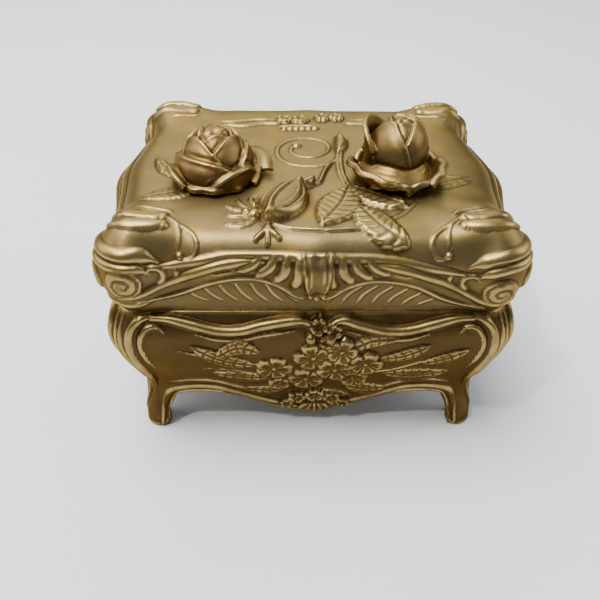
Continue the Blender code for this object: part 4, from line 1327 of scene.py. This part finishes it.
def gilt_material(name, ground, shade, copper, gold):
    """Old gold paint on a casting, with painted shade in hollows and on upright faces, and bright crests
    that are partly rubbed gilt and partly a painted highlight.

    copper and gold say how much of the brown and the yellow patches shows.
    """
    n = Nodes(name)
    fine, wide, upward = n.wear_and_painted_light()
    patchy = n.noise(70, 4, 0.6)
    base = n.blend(n.ramp(patchy, [(0.35, 0.0), (0.7, 1.0)]), ground, shade)
    grain = n.noise(2600, 2, 0.6)
    base = n.blend(n.ramp(grain, [(0.4, 0.0), (0.8, 0.12)]), base, BRIGHT_GRAIN)
    base = n.blend(n.ramp(n.noise(38, 5, 0.65), [(0.5, 0.0), (0.78, copper)]), base, THIN_COPPER)
    base = n.blend(n.ramp(n.noise(85, 4, 0.6), [(0.50, 0.0), (0.66, gold)]), base, YELLOW_GOLD)
    # Painted shade on faces that stand upright when the box is shut
    base = n.blend(n.ramp(upward, [(0.15, 0.60), (0.62, 0.0)]), base, UPRIGHT_SHADE)
    # Painted shade in the wide and the fine hollows of the casting
    base = n.blend(n.ramp(wide, [(0.02, 0.55), (0.38, 0.0)]), base, WIDE_HOLLOW_SHADE)
    base = n.blend(n.ramp(fine, [(0.0, 0.75), (0.30, 0.0)]), base, FINE_HOLLOW_SHADE)
    # Crests brightened: partly rubbed gilt, partly a painted highlight
    rubbed_and_highlight = n.math("MULTIPLY", n.ramp(fine, [(0.64, 0.0), (1.0, 0.55)]),
                    n.ramp(n.noise(160, 3), [(0.3, 0.45), (0.6, 1.0)]))
    base = n.blend(rubbed_and_highlight, base, RUBBED_GOLD_AND_HIGHLIGHT)
    n.link(base, n.shader.inputs["Base Color"])
    rough = n.blend(rubbed_and_highlight, n.ramp(grain, [(0.3, 0.38), (0.8, 0.50)]), RUBBED_GLOSS)
    n.link(rough, n.shader.inputs["Roughness"])
    n.constant(Metallic=0.94, Coat_Weight=0.03, Coat_Roughness=0.25, Specular_Tint=(0.72, 0.58, 0.40, 1))
    bumps = n.math("ADD", n.math("MULTIPLY", grain, 0.35), n.noise(520, 3, 0.6))
    n.bump(bumps, 0.45, 0.00015)
    return n.material


def metal_material(name, colour, dark, roughness, scratch):
    n = Nodes(name)
    tone = n.noise(240, 4, 0.6)
    n.link(n.blend(n.ramp(tone, [(0.3, 0.0), (0.75, 1.0)]), colour, dark), n.shader.inputs["Base Color"])
    lines = n.noise(900, 2, 0.5, stretch=scratch)
    n.link(n.ramp(lines, [(0.3, roughness - 0.08), (0.75, roughness + 0.12)]), n.shader.inputs["Roughness"])
    n.constant(Metallic=1.0)
    n.bump(lines, 0.2, 0.00005)
    return n.material


def satin_material(name):
    n = Nodes(name)
    warp = n.noise(2400, 2, 0.5, stretch=(1.0, 1.0, 0.08))
    weft = n.noise(2400, 2, 0.5, stretch=(0.08, 0.08, 1.0))
    weave = n.math("ADD", warp, weft)
    tone = n.blend(n.ramp(n.noise(45, 4), [(0.3, 0.0), (0.7, 1.0)]), (0.74, 0.59, 0.37), (0.60, 0.44, 0.24))
    tone = n.blend(n.ramp(n.noise(22, 3), [(0.6, 0.0), (0.8, 0.35)]), tone, (0.42, 0.28, 0.13))
    n.link(tone, n.shader.inputs["Base Color"])
    n.link(n.ramp(weave, [(0.3, 0.30), (0.8, 0.48)]), n.shader.inputs["Roughness"])
    n.constant(Sheen_Weight=0.45, Sheen_Roughness=0.35, Specular_IOR_Level=0.7)
    n.bump(weave, 0.3, 0.0001)
    return n.material


def board_material(name):
    n = Nodes(name)
    fibre = n.noise(700, 5, 0.7)
    n.link(n.ramp(fibre, [(0.3, (0.42, 0.35, 0.26)), (0.7, (0.62, 0.54, 0.42))]),
           n.shader.inputs["Base Color"])
    n.link(n.ramp(fibre, [(0.3, 0.82), (0.8, 0.95)]), n.shader.inputs["Roughness"])
    n.bump(fibre, 0.4, 0.0001)
    return n.material


def gimp_material(name):
    n = Nodes(name)
    thread = n.noise(3000, 2, 0.5, stretch=(1.0, 1.0, 0.3))
    n.link(n.ramp(thread, [(0.3, (0.40, 0.29, 0.14)), (0.7, (0.78, 0.64, 0.38))]),
           n.shader.inputs["Base Color"])
    n.link(n.ramp(thread, [(0.3, 0.42), (0.8, 0.62)]), n.shader.inputs["Roughness"])
    n.constant(Sheen_Weight=0.4, Sheen_Roughness=0.4)
    n.bump(thread, 0.4, 0.0001)
    return n.material


def backdrop_material():
    n = Nodes("studio_paper")
    tone = n.noise(9, 3)
    n.link(n.ramp(tone, [(0.3, (0.90, 0.925, 0.97)), (0.7, (0.93, 0.95, 0.985))]),
           n.shader.inputs["Base Color"])
    n.constant(Roughness=0.9)
    return n.material


# ---------------------------------------------------------------- stage, lights, camera

def make_stage():
    mesh = bpy.data.meshes.new("studio_floor")
    half = 8.0
    mesh.from_pydata([(-half, -half, 0), (half, -half, 0), (half, half, 0), (-half, half, 0)], [],
                     [(0, 1, 2, 3)])
    floor = bpy.data.objects.new("studio_floor", mesh)
    mesh.materials.append(backdrop_material())
    bpy.context.scene.collection.objects.link(floor)


def area_light(name, place, size, watts, colour, target=(0.0, 0.0, 0.06)):
    data = bpy.data.lights.new(name, "AREA")
    data.shape, data.size, data.energy, data.color = "SQUARE", size, watts, colour
    lamp = bpy.data.objects.new(name, data)
    lamp.location = place
    lamp.rotation_euler = (Vector(target) - Vector(place)).to_track_quat("-Z", "Y").to_euler()
    bpy.context.scene.collection.objects.link(lamp)


def make_lights():
    area_light("back_softbox", (-0.1, 0.95, 0.9), 1.1, 8.5, (0.98, 0.99, 1.0))
    area_light("ceiling", (-0.3, 0.0, 1.2), 0.75, 21.0, (1.0, 0.985, 0.96))
    area_light("left_softbox", (-1.15, 0.15, 0.75), 0.9, 6.5, (1.0, 0.99, 0.97))
    area_light("right_softbox", (1.15, 0.15, 0.75), 0.9, 6.5, (0.98, 0.99, 1.0))
    area_light("front_sparkle", (-0.5, -0.45, 1.1), 0.07, 4.5, (1.0, 0.96, 0.90))
    world = bpy.data.worlds.new("studio")
    world.use_nodes = True
    background = world.node_tree.nodes["Background"]
    background.inputs["Color"].default_value = (0.90, 0.94, 1.0, 1)
    background.inputs["Strength"].default_value = 0.19
    bpy.context.scene.world = world


def make_camera():
    """A close view about 39 degrees down, a hair to the left and tilted a little."""
    data = bpy.data.cameras.new("camera")
    data.sensor_width, data.lens = 36.0, 36.76
    data.clip_start, data.clip_end = 0.01, 20.0
    pitch, yaw, roll = math.radians(39.10), math.radians(1.36), math.radians(0.83)
    ahead = Vector((math.sin(yaw) * math.cos(pitch), math.cos(yaw) * math.cos(pitch), -math.sin(pitch)))
    level = Vector((math.cos(yaw), -math.sin(yaw), 0))
    upright = level.cross(ahead)
    across = level * math.cos(roll) + upright * math.sin(roll)
    above = upright * math.cos(roll) - level * math.sin(roll)
    camera = bpy.data.objects.new("camera", data)
    turn = Matrix((across, above, -ahead)).transposed().to_4x4()
    camera.matrix_world = Matrix.Translation(Vector((-8.8, -228.5, 209.2)) * MM) @ turn
    bpy.context.scene.collection.objects.link(camera)
    bpy.context.scene.camera = camera


# ---------------------------------------------------------------- everything together

def dress(node, material):
    """Gives a carried-over CAD node its finished material."""
    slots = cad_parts[node].material_slots
    for slot in slots:
        slot.link = "OBJECT"
        slot.material = material


def main():
    make_camera()
    make_stage()
    make_lights()
    gilt_lid = gilt_material("gilt_lid", (0.210, 0.155, 0.062), (0.25, 0.192, 0.082), 0.3, 0.6)
    # A much darker copy of the lid's gilt: painted shade for the body's upright sides
    gilt_body_painted_shade = gilt_material("gilt_body_painted_shade", (0.074, 0.041, 0.012), (0.108, 0.066, 0.021), 0.5, 0.15)
    gilt_rose = gilt_material("gilt_rose", (0.25, 0.175, 0.060), (0.17, 0.10, 0.045), 0.6, 0.6)
    brass = metal_material("old_brass", (0.62, 0.45, 0.20), (0.34, 0.22, 0.09), 0.38, (1.0, 0.1, 1.0))
    steel = metal_material("drawn_steel", (0.55, 0.55, 0.56), (0.38, 0.37, 0.36), 0.32, (0.1, 1.0, 1.0))
    tinplate = metal_material("dull_tinplate", (0.50, 0.49, 0.46), (0.33, 0.31, 0.28), 0.46, (0.15, 1.0, 1.0))
    satin = satin_material("aged_satin")
    board = board_material("pasteboard")
    gimp = gimp_material("gimp_thread")

    piece(make_lid(gilt_lid), "lid", ["lid_shell"])
    piece(make_body(gilt_body_painted_shade), "casket", ["body_shell"])
    piece(make_rose_left(gilt_rose), "lid", ["rose_left"])
    piece(make_rose_right(gilt_rose), "lid", ["rose_right"])
    make_wall_pads(satin)
    make_flat_pads(satin)
    make_gimp("twisted_body_cord", -WALL - 1.5, BODY_RIM_Z - 1.5, "body_rim_cord", "casket", gimp)
    make_gimp("twisted_lid_cord", -WALL - 1.5, LID_RIM_Z + 1.5, "lid_rim_cord", "lid", gimp)
    for side in ("left", "right"):
        dress(f"hinge_body_leaf_{side}", brass)
        dress(f"hinge_lid_leaf_{side}", brass)
        dress(f"hinge_pin_{side}", steel)
    dress("floor_plate", tinplate)
    dress("floor_card", board)
    dress("lid_card", board)


main()
